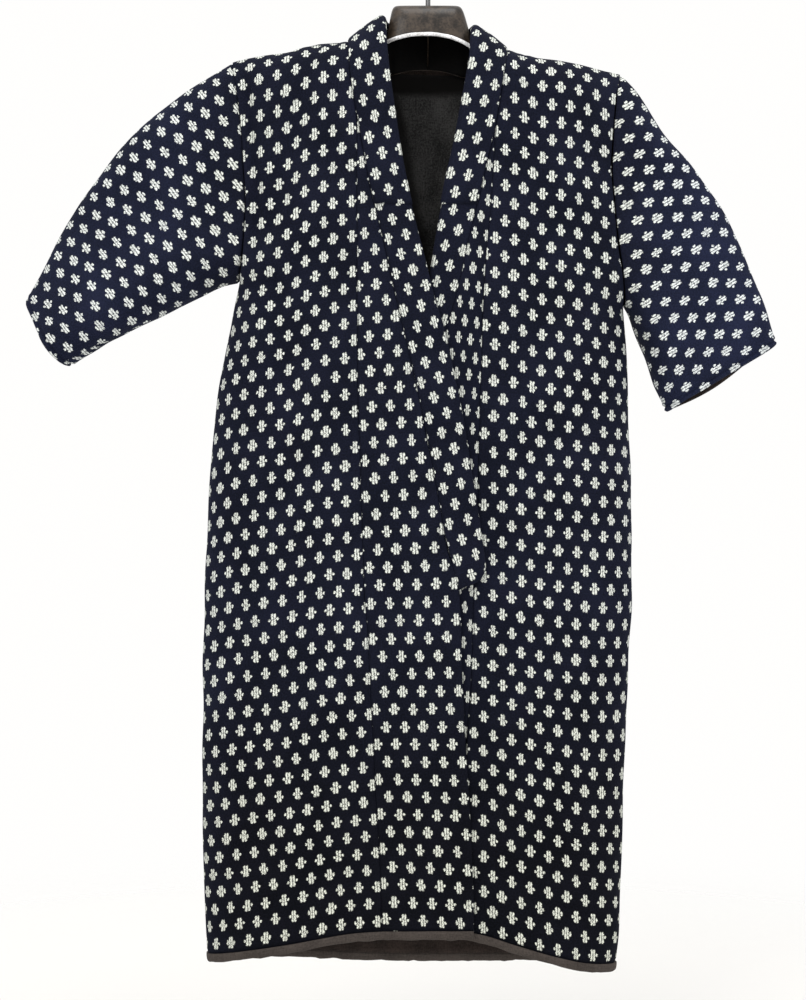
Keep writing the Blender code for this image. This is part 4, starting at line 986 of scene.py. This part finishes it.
def hem_band(name, parts, materials):
    """A padded roll under every hem, from the over front's edge round to the under front's edge."""
    outer = np.concatenate([part[0] for part in parts])
    inner = np.concatenate([part[1] for part in parts])
    keep = np.concatenate([[True], np.linalg.norm(np.diff(outer, axis=0), axis=1) > HEM_APART])
    outer, inner = outer[keep], inner[keep]
    middle = (outer + inner) / 2
    out = unit((outer - inner) * np.array((1.0, 1.0, 0.0)))
    gone = gone_along(middle)
    end = arc(np.minimum(gone, gone[-1] - gone) / BAND_END)
    angles = np.linspace(0, math.pi, BAND_POINTS)
    sideways = np.sign(np.cos(angles)) * np.abs(np.cos(angles)) ** BAND_SQUARE * BAND_HALF
    down = BAND_GAP + BAND_DEPTH * np.sin(angles) ** BAND_SQUARE
    fat = 1 + lumps(gone, gone * 0, BAND_SEED, *BAND_LUMPS)
    fat += lumps(gone, gone * 0, BAND_FINE_SEED, *BAND_FINE_LUMPS)
    sideways = sideways[None] * (fat * mix(BAND_END_WIDTH, 1.0, end))[:, None]
    down = down[None] * (fat * mix(BAND_END_DEPTH, 1.0, end))[:, None]
    loops = middle[:, None] + out[:, None] * sideways[..., None] - UPWARD * down[..., None]
    uv = np.stack(np.broadcast_arrays(np.linspace(0, BAND_ROUND, BAND_POINTS + 1), gone[:, None]), -1)
    return swept(name, loops, uv, materials)


def lining(name, backs, place, material):
    """A thin cloth inside the back, made from the back's own points."""
    first, last, skip = place
    rows = (FRONT_ROWS > first) & (FRONT_ROWS < last)
    points, normals = (np.concatenate([left[rows, skip:], right[rows, skip:][:, ::-1][:, 1:]], axis=1)
                       for left, right in zip(*backs))
    across, down = points[..., 0] * CREASE_ACROSS, points[..., 2] * CREASE_DOWN
    waves = lumps(across, down, LINING_SEED, *LINING_CREASES)
    outer = points - normals * (WALL + LINING_GAP)
    inner = points - normals * (WALL + LINING_GAP + LINING_THICK + np.abs(waves))[..., None]
    return wall(name, outer, inner, points[..., (0, 2)], [material])


# Hanger and hook

# The arms: distance inside the cloth's outer face, places along them, how far below the shoulder fold their
# sections are taken, and the drop of their skirts, which is less from this place to the tips
ARM_INSET = WALL + 0.0010
ARM_PLACES = (0.222, 0.210, 0.190, 0.165, 0.135, 0.112, 0.0948)
ARM_DROPS = (0.0096, 0.0025)
SKIRT = 0.028
TIP_SKIRT = 0.017
TIP_FROM = 0.215
# Places towards the neck, and how much lower than the arm's last section it lies there
NECKWARD = ((0.078, 0.003), (0.063, 0.005), (0.0530, 0.00405))
# The neck: how far down it widens, by how much, and how far it leans to the right over that height
NECK_HEIGHT, NECK_WIDER, NECK_LEAN = 0.045, 0.115, 0.0024
# It gets shallower this far from its middle, over this width. Further out its top falls, over this width and
# by this much, but not below this height
SHALLOW_FROM, SHALLOW_OVER = 0.024, 0.026
FALL_FROM, FALL_OVER, FALL = 0.0385, 0.0070, 0.030
LOWEST_TOP = -0.100
# Places along it, half width, half depths of its rims, and of the lips laid on them
NECK_PLACES = (0.0448, 0.0440, 0.0420, 0.0385, 0.0320, 0.0180)
NECK_HALF = 0.0446
RIM_DEPTHS = (-0.0298, 0.0305)
LIP_DEPTHS = (-0.0298, 0.0300)
LIP_RADIUS = 0.0023
REAR_LIP_RADIUS = 0.0006
LIP_POINTS = 41
# How far the front lip lies before the rim and above it
LIP_MOVE = (0.0, -0.0012, 0.0004)
# The rib inside the neck: half thickness, where it begins and ends in depth, how far its ends stand over the
# rims, how far its top lies below the neck's, how much its top falls at the ends, and its points
RIB_HALF = 0.0007
RIB_DEPTHS = (-0.0265, 0.0275)
RIB_OVER_RIMS = (0.001, 0.002)
RIB_BELOW, RIB_FALL = 0.0035, 0.010
RIB_POINTS = 9
# Thickness of the plastic
SHELL = 0.0025
# The hook: z of its foot and of its straight end over the neck's top, and degrees of its bend
HOOK_FOOT, HOOK_STRAIGHT = -0.002, 0.009
HOOK_BEND = range(-78, 189, 4)


def arm_loop(x):
    """Outer points across a hanger arm at x, just inside the cloth that lies on it."""
    ridge = float(value(RIDGE, x))
    halves = []
    for back in (False, True):
        line = []
        for below in ARM_DROPS:
            depth = float(half_depth(x, ridge - below, back))
            full = float(half_depth(x, ridge - TOP_ROUND, back))
            out = unit((depth / full ** 2, (TOP_ROUND - below) / TOP_ROUND ** 2)) * ARM_INSET
            line.append(((depth - out[0]) * (1 if back else -1), ridge - below - out[1]))
        halves.append(line)
    top = (0.0, ridge - ARM_INSET)
    line = [*halves[0], top, *halves[1][::-1]]
    loop = [line[0]]
    for first, second in zip(line, line[1:]):
        loop += [tuple(np.add(first, second) / 2), second]
    low = top[1] - (SKIRT if abs(x) < TIP_FROM else TIP_SKIRT)
    return [(x, y, z) for y, z in [(line[0][0], low), *loop, (line[-1][0], low)]]


def neck_place(x, y, z):
    """A point of the hanger's neck, which widens downwards and leans a little."""
    low = min(max((NECK_TOP - z) / NECK_HEIGHT, 0.0), 1.0)
    return (x * (1 + NECK_WIDER * low) + NECK_LEAN * (low - 0.5), y, z)


def neck_narrow(x, depth):
    """How deep the neck is at x, of its depth in the middle; the front narrows half as much as the back."""
    narrow = 1 - 0.5 * float(smooth((abs(x) - SHALLOW_FROM) / SHALLOW_OVER)) ** 2
    return depth * ((1 + narrow) / 2 if depth < 0 else narrow)


def rim_places(rim, inset=0.0):
    """Points along the front rim, 0, or the rear rim, 1, of the hanger's neck."""
    return [neck_place(float(x), neck_narrow(x, LIP_DEPTHS[rim]), float(value(NECK_RIMS, x, 1 + rim)) + inset)
            for x in np.linspace(-NECK_HALF, NECK_HALF, LIP_POINTS)]


def neck_station(x):
    """Outer points of the hanger's neck at x, front rim to rear rim."""
    lower = FALL * float(smooth((abs(x) - FALL_FROM) / FALL_OVER)) ** 3
    rims = [(x, neck_narrow(x, depth), float(value(NECK_RIMS, x, 1 + rim)))
            for rim, depth in enumerate(RIM_DEPTHS)]
    between = [(x, y * neck_narrow(x, 1.0), min(z, max(z - lower, LOWEST_TOP))) for y, z in NECK_SECTION]
    return [neck_place(*point) for point in [rims[0], *between, rims[1]]]


def applied(item):
    """The item with its modifiers applied."""
    mesh = bpy.data.meshes.new_from_object(item.evaluated_get(bpy.context.evaluated_depsgraph_get()))
    name, materials = item.name, list(item.data.materials)
    bpy.data.objects.remove(item, do_unlink=True)
    if not mesh.materials:
        for material in materials:
            mesh.materials.append(material)
    mesh.polygons.foreach_set("use_smooth", np.ones(len(mesh.polygons), bool))
    return linked(name, mesh)


def joined(name, items):
    """One object made of several, with their materials in turn."""
    work = bmesh.new()
    mesh = bpy.data.meshes.new(name)
    for item in items:
        start = len(work.faces)
        work.from_mesh(item.data)
        work.faces.ensure_lookup_table()
        for face in work.faces[start:]:
            face.material_index += len(mesh.materials)
        for material in item.data.materials:
            mesh.materials.append(material)
        bpy.data.objects.remove(item)
    work.to_mesh(mesh)
    work.free()
    return linked(name, mesh)


def tube(name, points, radius, material):
    """A round wire along smooth points."""
    curve = bpy.data.curves.new(name, "CURVE")
    curve.dimensions = "3D"
    curve.bevel_depth = radius
    curve.bevel_resolution = 6
    curve.use_fill_caps = True
    spline = curve.splines.new("POLY")
    spline.points.add(len(points) - 1)
    for target, point in zip(spline.points, points):
        target.co = (*point, 1.0)
    curve.materials.append(material)
    item = linked(name, curve)
    bpy.context.view_layer.update()
    return applied(item)


def hanger(name, material, dark, pale):
    """Two arms and the neck between them, open below, with a lip on the front rim and a rib inside."""
    loops = []
    for side in (-1, 1):
        part = [arm_loop(side * x) for x in ARM_PLACES]
        part += [[(side * x, y, z - lower) for _, y, z in part[-1]] for x, lower in NECKWARD]
        loops.append(part)
    neck = [neck_station(x) for x in (*np.negative(NECK_PLACES), 0.0, *NECK_PLACES[::-1])]
    outer = np.array(loops[0] + neck + loops[1][::-1])
    inner = outer - grid_normals(outer, toward=UPWARD) * SHELL
    # Its inside and rims take the dark material, a near-black painted shade in the hollow underside
    body = wall("hanger_body", outer, inner, outer[..., :2], [material, dark], rim_slot=1)
    smoothing = body.modifiers.new("smooth", "SUBSURF")
    smoothing.levels = smoothing.render_levels = 2
    # The front lip takes the pale material, a painted highlight along the rim
    front = [tuple(np.add(point, LIP_MOVE)) for point in rim_places(0)]
    lip = tube("hanger_lip", front, LIP_RADIUS, pale)
    rear = tube("hanger_rear_lip", rim_places(1, inset=REAR_LIP_RADIUS), REAR_LIP_RADIUS, material)
    share = np.linspace(0.0, 1.0, RIB_POINTS)
    low = mix(*(NECK_RIMS[3][1 + rim] + over for rim, over in enumerate(RIB_OVER_RIMS)), share)
    high = NECK_TOP - RIB_BELOW - RIB_FALL * np.abs(2 * share - 1) ** 3
    middle = np.stack([np.stack([share * 0, mix(*RIB_DEPTHS, share), z], 1) for z in (high, low)])
    half = np.array((RIB_HALF, 0.0, 0.0))
    rib = wall("hanger_rib", middle + half, middle - half, middle[..., 1:], [material])
    return joined(name, [applied(body), lip, rear, rib])


def hook(name, material):
    """The wire hook, from inside the neck's top round to its tip."""
    radius = HOOK_INSIDE + HOOK_WIRE
    points = [(0.0, 0.0, NECK_TOP + HOOK_FOOT), (0.0, 0.0, NECK_TOP + HOOK_STRAIGHT)]
    for angle in np.radians(HOOK_BEND):
        points.append((radius * math.cos(angle), 0.0, radius * math.sin(angle) - HOOK_INSIDE))
    return tube(name, points, HOOK_WIRE, material)


# Materials

class Wire:
    """A value in a material's node tree. Arithmetic with wires adds math nodes."""

    def __init__(self, shade, socket):
        self.shade = shade
        self.socket = socket

    def __add__(self, other):
        return self.shade.math("ADD", self, other)

    def __sub__(self, other):
        return self.shade.math("SUBTRACT", self, other)

    def __rsub__(self, other):
        return self.shade.math("SUBTRACT", other, self)

    def __mul__(self, other):
        return self.shade.math("MULTIPLY", self, other)

    def __truediv__(self, other):
        return self.shade.math("DIVIDE", self, other)

    def __mod__(self, other):
        return self.shade.math("FLOORED_MODULO", self, other)

    def as_max(self, other):
        return self.shade.math("MAXIMUM", self, other)

    def done(self, operation):
        return self.shade.math(operation, self)

    def span(self, low, high, new_low=0.0, new_high=1.0, kind="SMOOTHSTEP"):
        """The value's way from low to high, kept within the new ends."""
        made = self.shade.node("ShaderNodeMapRange", interpolation_type=kind)
        return self.shade.fed(made, self, low, high, new_low, new_high)

    def even(self, new_low, new_high, low=0, high=1):
        return self.span(low, high, new_low, new_high, "LINEAR")


class Shade:
    """A material's nodes, added by short calls."""

    def __init__(self, name):
        self.material = bpy.data.materials.new(name)
        self.material.use_nodes = True
        self.tree = self.material.node_tree
        self.across, self.down = None, None

    def node(self, kind, **settings):
        made = self.tree.nodes.new(kind)
        for key, setting in settings.items():
            setattr(made, key, setting)
        return made

    def put(self, socket, source):
        if isinstance(source, Wire):
            self.tree.links.new(source.socket, socket)
        else:
            socket.default_value = source

    def fed(self, made, *sources, output=0, **named):
        """A node's output, with its inputs set in turn, or by name."""
        for key, source in [*enumerate(sources), *named.items()]:
            self.put(made.inputs[key], source)
        return Wire(self, made.outputs[output])

    def surface(self, **named):
        """Sets the shader's inputs. A line below stands for a space in a name."""
        for key, source in named.items():
            self.put(self.tree.nodes["Principled BSDF"].inputs[key.replace("_", " ")], source)

    def math(self, operation, *sources):
        return self.fed(self.node("ShaderNodeMath", operation=operation), *sources)

    def vector_math(self, operation, *sources, output=0):
        return self.fed(self.node("ShaderNodeVectorMath", operation=operation), *sources, output=output)

    def blend(self, share, first, second):
        """Between two colours, each a wire or red, green and blue."""
        made = self.node("ShaderNodeMix", data_type="RGBA")
        self.put(made.inputs[0], share)
        for socket, colour in ((made.inputs[6], first), (made.inputs[7], second)):
            self.put(socket, colour if isinstance(colour, Wire) else (*colour, 1.0))
        return Wire(self, made.outputs[2])

    def vector(self, *parts):
        return self.fed(self.node("ShaderNodeCombineXYZ"), *parts)

    def split(self, source):
        made = self.node("ShaderNodeSeparateXYZ")
        self.put(made.inputs[0], source)
        return [Wire(self, output) for output in made.outputs]

    def place(self):
        """The place on the object, in metres."""
        return Wire(self, self.node("ShaderNodeTexCoord").outputs["Object"])

    def chance(self, dimensions, output, **named):
        made = self.node("ShaderNodeTexWhiteNoise", noise_dimensions=dimensions)
        return self.fed(made, output=output, **named)

    def noise(self, vector, scale, detail, roughness=0.5):
        made = self.node("ShaderNodeTexNoise")
        return self.fed(made, output="Fac", Vector=vector, Scale=scale, Detail=detail, Roughness=roughness)

    def on_cloth(self):
        """Takes the flat cloth's own map, across and down in metres."""
        cloth = Wire(self, self.node("ShaderNodeUVMap", uv_map="Cloth").outputs[0])
        self.across, self.down = self.split(cloth)[:2]

    def grain(self, across, down, detail, roughness=0.5):
        """Noise on the flat cloth, with so many grains to the metre across and down."""
        return self.noise(self.vector(self.across * across, self.down * down), 1.0, detail, roughness)

    def weave(self, warp, weft):
        """Up and down of single threads that lie so far apart."""
        return ((self.across * (2 * math.pi / warp)).done("SINE")
                * (self.down * (2 * math.pi / weft)).done("SINE"))

    def spot(self, place, part, soft):
        """1 inside an ellipse and 0 outside it, soft at the edge. A part gives its middle and half sizes."""
        moved = self.vector_math("SUBTRACT", place, (*part[:2], 0.0))
        scaled = self.vector_math("DIVIDE", moved, (*part[2:], 1.0))
        return self.vector_math("LENGTH", scaled, output="Value").span(1 - soft, 1 + soft, 1.0, 0.0)

    def bump(self, height, distance, strength):
        return self.fed(self.node("ShaderNodeBump"), Strength=strength, Distance=distance, Height=height)


# Figure of the cloth, in millimetres from its middle: place across and up, half width and half height
WHITE_PARTS = ((1.2, 0.5, 1.25, 6.2), (1.35, 4.6, 1.35, 2.3), (1.55, -4.1, 1.5, 2.6), (4.45, -0.1, 1.25, 1.7))
DARK_PARTS = ((0.0, 0.2, 0.9, 1.3), (2.8, 0.9, 0.45, 1.3), (2.8, -1.4, 0.45, 1.1))
TAIL = (0.0, -0.4, 5.8, 0.9)
MM = 1000


def kasuri():
    """Indigo cotton with a small white figure, resist-dyed in the thread and so ragged along the threads."""
    s = Shade("kasuri_cotton")
    s.on_cloth()
    row_place = s.down / FIGURE_DOWN
    row = row_place.done("FLOOR")
    column_place = s.across / FIGURE_ACROSS + row % 2.0 * 0.5
    column = column_place.done("FLOOR")
    first, second, third = s.split(s.chance("2D", "Color", Vector=s.vector(column, row)))
    row_chance = s.chance("1D", "Value", W=row)
    # Each thread has slipped a little, weft threads sideways and warp threads up or down
    weft = s.grain(110.0, 900.0, 1.0)
    warp = s.grain(900.0, 110.0, 1.0)
    x = (column_place - column - 0.5) * (FIGURE_ACROSS * MM) + first.even(-0.6, 0.6) + (weft - 0.5) * 3.2
    y = (0.5 - (row_place - row)) * (FIGURE_DOWN * MM) + second.even(-0.5, 0.5) + (warp - 0.5) * 2.4
    side = x.done("ABSOLUTE") * third.even(0.90, 1.12)
    # The side dots sit a little higher or lower, and are drawn out into short bars in some figures
    outside = side.span(2.6, 3.4)
    y_side = y + x.done("SIGN") * third.even(-0.9, 0.9) * outside
    drawn_out = first.span(0.35, 1.0, 1.0, 0.55)
    place = s.vector(side, y_side * (outside * (drawn_out - 1.0) + 1.0))
    figure = 0.0
    for part in WHITE_PARTS:
        figure = s.spot(place, part, 0.20).as_max(figure)
    hole = 0.0
    for part in DARK_PARTS:
        hole = s.spot(place, part, 0.45).as_max(hole)
    slit = side.span(0.15, 0.85, 0.70, 0.0)
    figure = figure * (1.0 - (hole * 0.85).as_max(slit))
    # In some rows the dye has run along a few weft threads
    tail = s.spot(s.vector(x, y), TAIL, 0.35) * weft.span(0.47, 0.60) * row_chance.span(0.70, 0.98, 0.0, 0.5)
    # Knots of thread take more or less of the dye
    knot = s.grain(500.0, 500.0, 2.0, 0.65)
    figure = figure.as_max(tail) * knot.span(0.36, 0.57, 0.38, 1.0)
    # Painted light and sheen: lighter and bluer towards the shoulders, and most on the sleeves
    where = s.split(s.place())
    upper = where[2].span(-1.10, -0.75, 0.0, 0.34) + where[0].span(0.21, 0.31, 0.0, 0.66)
    upper = upper + where[0].span(-0.31, -0.21, 0.35, 0.0)
    white = s.blend(upper, (0.75, 0.77, 0.67), (0.82, 0.86, 0.85))
    indigo = s.blend(upper, (0.0010, 0.0013, 0.0022), (0.0065, 0.0085, 0.0190))
    lighter = s.blend(upper, (0.0055, 0.0058, 0.0105), (0.0160, 0.0200, 0.0480))
    speck = s.grain(520.0, 520.0, 3.0, 0.75)
    tone = speck * 0.65 + s.grain(14.0, 14.0, 3.0) * 0.35
    indigo = s.blend(tone.span(0.36, 0.66), indigo, lighter)
    height = s.weave(0.00085, 0.00075) * 0.35 + speck * 0.8
    s.surface(Base_Color=s.blend(figure, indigo, white), Roughness=figure.even(0.92, 0.82),
              Normal=s.bump(height, 0.00030, 0.8), Specular_IOR_Level=0.07, Sheen_Weight=0.015,
              Sheen_Roughness=0.5, Sheen_Tint=(0.45, 0.55, 1.0, 1.0))
    return s.material


# The shadow on the neck lining: width of its soft edge, x of its other edge at this level, from full to none,
# how much that edge leans, and its share there
SHADOW_EDGE = 0.012
SHADOW_LEVEL = -0.136
SHADOW_BESIDE = (-0.041, -0.030)
SHADOW_LEAN = 0.18
SHADOW_SHARE = 0.8


def plain_cotton(name, dark, light, thread, shadow=None):
    """Plain-woven cotton with slubs and soft wear. With shadow, it is dark above that height and beside the
    wearer's right collar."""
    s = Shade(name)
    s.on_cloth()
    threads = (s.grain(1300.0, 90.0, 3.0) + s.grain(90.0, 1300.0, 3.0)) * 0.5
    cloudy = s.grain(30.0, 22.0, 4.0)
    shade = threads * 0.35 + s.grain(520.0, 380.0, 2.0, 0.7) * 0.35 + cloudy * 0.30
    colour = s.blend(shade.span(0.38, 0.62), dark, light)
    if shadow is not None:
        where = s.split(s.place())
        above = (cloudy * SHADOW_EDGE + where[2]).span(shadow, shadow + SHADOW_EDGE)
        from_collar = (where[2] - SHADOW_LEVEL) * SHADOW_LEAN + where[0]
        beside = (cloudy * (SHADOW_EDGE / 2) + from_collar).span(*SHADOW_BESIDE, SHADOW_SHARE, 0.0)
        colour = s.blend(above.as_max(beside), colour, (0.0045, 0.0040, 0.0038))
    height = s.weave(thread, thread) * 0.4 + threads
    s.surface(Base_Color=colour, Roughness=0.88, Normal=s.bump(height, 0.0003, 0.8), Specular_IOR_Level=0.10,
              Sheen_Weight=0.02)
    return s.material


def hanger_plastic(name, dark, light, roughness, gloss, coat):
    """Brown moulded plastic, mottled and a little worn; near-black as painted shade, pale as painted
    highlight.
    """
    s = Shade(name)
    cloudy = s.noise(s.place(), 90.0, 4.0, 0.65)
    mottled = s.noise(s.place(), 420.0, 3.0) * 0.3 + cloudy * 0.7
    s.surface(Base_Color=s.blend(mottled.span(0.38, 0.62), dark, light),
              Roughness=cloudy.even(roughness, roughness + 0.14, 0.3, 0.7),
              Normal=s.bump(mottled, 0.0006, 0.4), Specular_IOR_Level=gloss, Coat_Weight=coat,
              Coat_Roughness=0.12)
    return s.material


def hook_steel():
    """Plated wire with fine lines from drawing."""
    s = Shade("hook_steel")
    fine = s.noise(s.place(), 600.0, 3.0)
    s.surface(Base_Color=s.blend(fine, (0.07, 0.07, 0.075), (0.16, 0.16, 0.16)),
              Roughness=fine.even(0.30, 0.42, 0.3, 0.7), Metallic=1.0)
    return s.material


def pale_floor():
    """A pale disc that fades out towards its edge."""
    s = Shade("pale_floor")
    x, y, _ = s.split(s.place())
    far = (x * x + y * y).done("SQRT")
    s.surface(Base_Color=(0.86, 0.85, 0.83, 1.0), Roughness=0.9, Alpha=far.span(0.7, 1.9, 1.0, 0.0))
    return s.material


# Stage

FLOOR_PLACE = (-0.02, 0.0, -1.42)
FLOOR_RADIUS = 2
FLOOR_CORNERS = 64
LENS = 66.0
# name, place, what it is aimed at, size, power, colour
LIGHTS = (
    ("key", (-1.3, -2.3, 0.9), (0.0, 0.0, -0.5), 1.6, 29.0, (1.0, 0.99, 0.97)),
    ("fill", (1.9, -2.0, -0.2), (0.0, 0.0, -0.6), 1.8, 18.0, (0.96, 0.98, 1.0)),
    ("top", (0.1, -0.5, 1.3), (0.0, 0.0, -0.2), 0.9, 14.0, (1.0, 1.0, 1.0)),
)


def stage():
    """A pale studio with its floor and lights, and the camera of the photo."""
    world = bpy.data.worlds.new("pale_studio")
    world.use_nodes = True
    background = world.node_tree.nodes["Background"]
    background.inputs["Color"].default_value = (1.0, 0.995, 0.985, 1.0)
    background.inputs["Strength"].default_value = 1.0
    bpy.context.scene.world = world
    bpy.context.scene.view_settings.view_transform = "Standard"
    disc = bpy.data.meshes.new("floor")
    angles = np.linspace(0, 2 * math.pi, FLOOR_CORNERS + 1)[:-1]
    rim = [(FLOOR_RADIUS * math.cos(angle), FLOOR_RADIUS * math.sin(angle), 0.0) for angle in angles]
    disc.from_pydata(rim, [], [range(FLOOR_CORNERS)])
    disc.materials.append(pale_floor())
    floor = linked("floor", disc)
    floor.location = FLOOR_PLACE
    for name, place, aim, size, power, colour in LIGHTS:
        data = bpy.data.lights.new(name, "AREA")
        data.size, data.energy, data.color = size, power, colour
        lamp = linked(name, data)
        lamp.location = place
        x, y, z = np.subtract(aim, place)
        lamp.rotation_euler = (math.atan2(math.hypot(x, y), -z), 0.0, math.atan2(-x, y))
    data = bpy.data.cameras.new("camera")
    data.lens = LENS
    camera = linked("camera", data)
    camera.location = CAMERA
    camera.rotation_euler = (math.pi / 2, 0.0, 0.0)
    bpy.context.scene.camera = camera


# Thread spacing of the lining and of the band's cloth, and the height above which the neck lining is dark
LINING_THREAD = 0.0011
BAND_THREAD = 0.0009
NECK_SHADOW = -0.160


def dress():
    """Every cloth and hard piece, each in place of its solid."""
    cotton = kasuri()
    inside = plain_cotton("lining_cotton", (0.010, 0.0075, 0.0065), (0.036, 0.026, 0.022), LINING_THREAD)
    neck_cloth = plain_cotton("neck_lining_cotton", (0.0080, 0.0080, 0.0083), (0.062, 0.061, 0.060),
                              LINING_THREAD, NECK_SHADOW)
    band_cloth = plain_cotton("band_cotton", (0.034, 0.028, 0.025), (0.070, 0.058, 0.051), BAND_THREAD)
    plastic = hanger_plastic("hanger_plastic", (0.009, 0.006, 0.004), (0.046, 0.033, 0.023), 0.36, 0.28, 0.1)
    # Near-black plastic painted as the shade inside the hanger's hollow underside and on its rims
    shade_plastic = hanger_plastic("hanger_inside_painted_shade", (0.0014, 0.0013, 0.0013), (0.0035, 0.0032, 0.003),
                                  0.6, 0.06, 0)
    # Near-white plastic painted as the highlight on the hanger's front lip
    highlight_plastic = hanger_plastic("hanger_lip_painted_highlight", (0.40, 0.39, 0.38), (0.90, 0.90, 0.91),
                                  0.18, 0.5, 0.6)
    made, hems, backs = [], [], []
    for sheet, hand in HANDS.items():
        body, hem, back = body_strip("body_cloth_" + hand, sheet, [cotton, inside])
        panel, panel_hem = okumi_panel("okumi_cloth_" + hand, sheet, [cotton, inside])
        arm = sleeve("sleeve_cloth_" + hand, sheet, [cotton, inside])
        hems.append([panel_hem] + hem)
        backs.append(back)
        made += [(body, "body_" + hand), (panel, "okumi_" + hand), (arm, "sleeve_" + hand)]
    collar, over_collar = collar_pieces([cotton])
    parts = hems[0] + [(outer[::-1], inner[::-1]) for outer, inner in hems[1][::-1]]
    made += [(collar, "collar"), (over_collar, "over_collar"),
             (hem_band("hem_band_cloth", parts, [band_cloth]), "hem_band"),
             (lining("neck_lining_cloth", backs, NECK_LINING, neck_cloth), "neck_lining"),
             (lining("hem_lining_cloth", backs, HEM_LINING, inside), "hem_lining"),
             (hanger("suit_hanger", plastic, shade_plastic, highlight_plastic), "hanger"),
             (hook("hook_wire", hook_steel()), "hook")]
    for item, node in made:
        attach(item, "root")
        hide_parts(node)


dress()
stage()
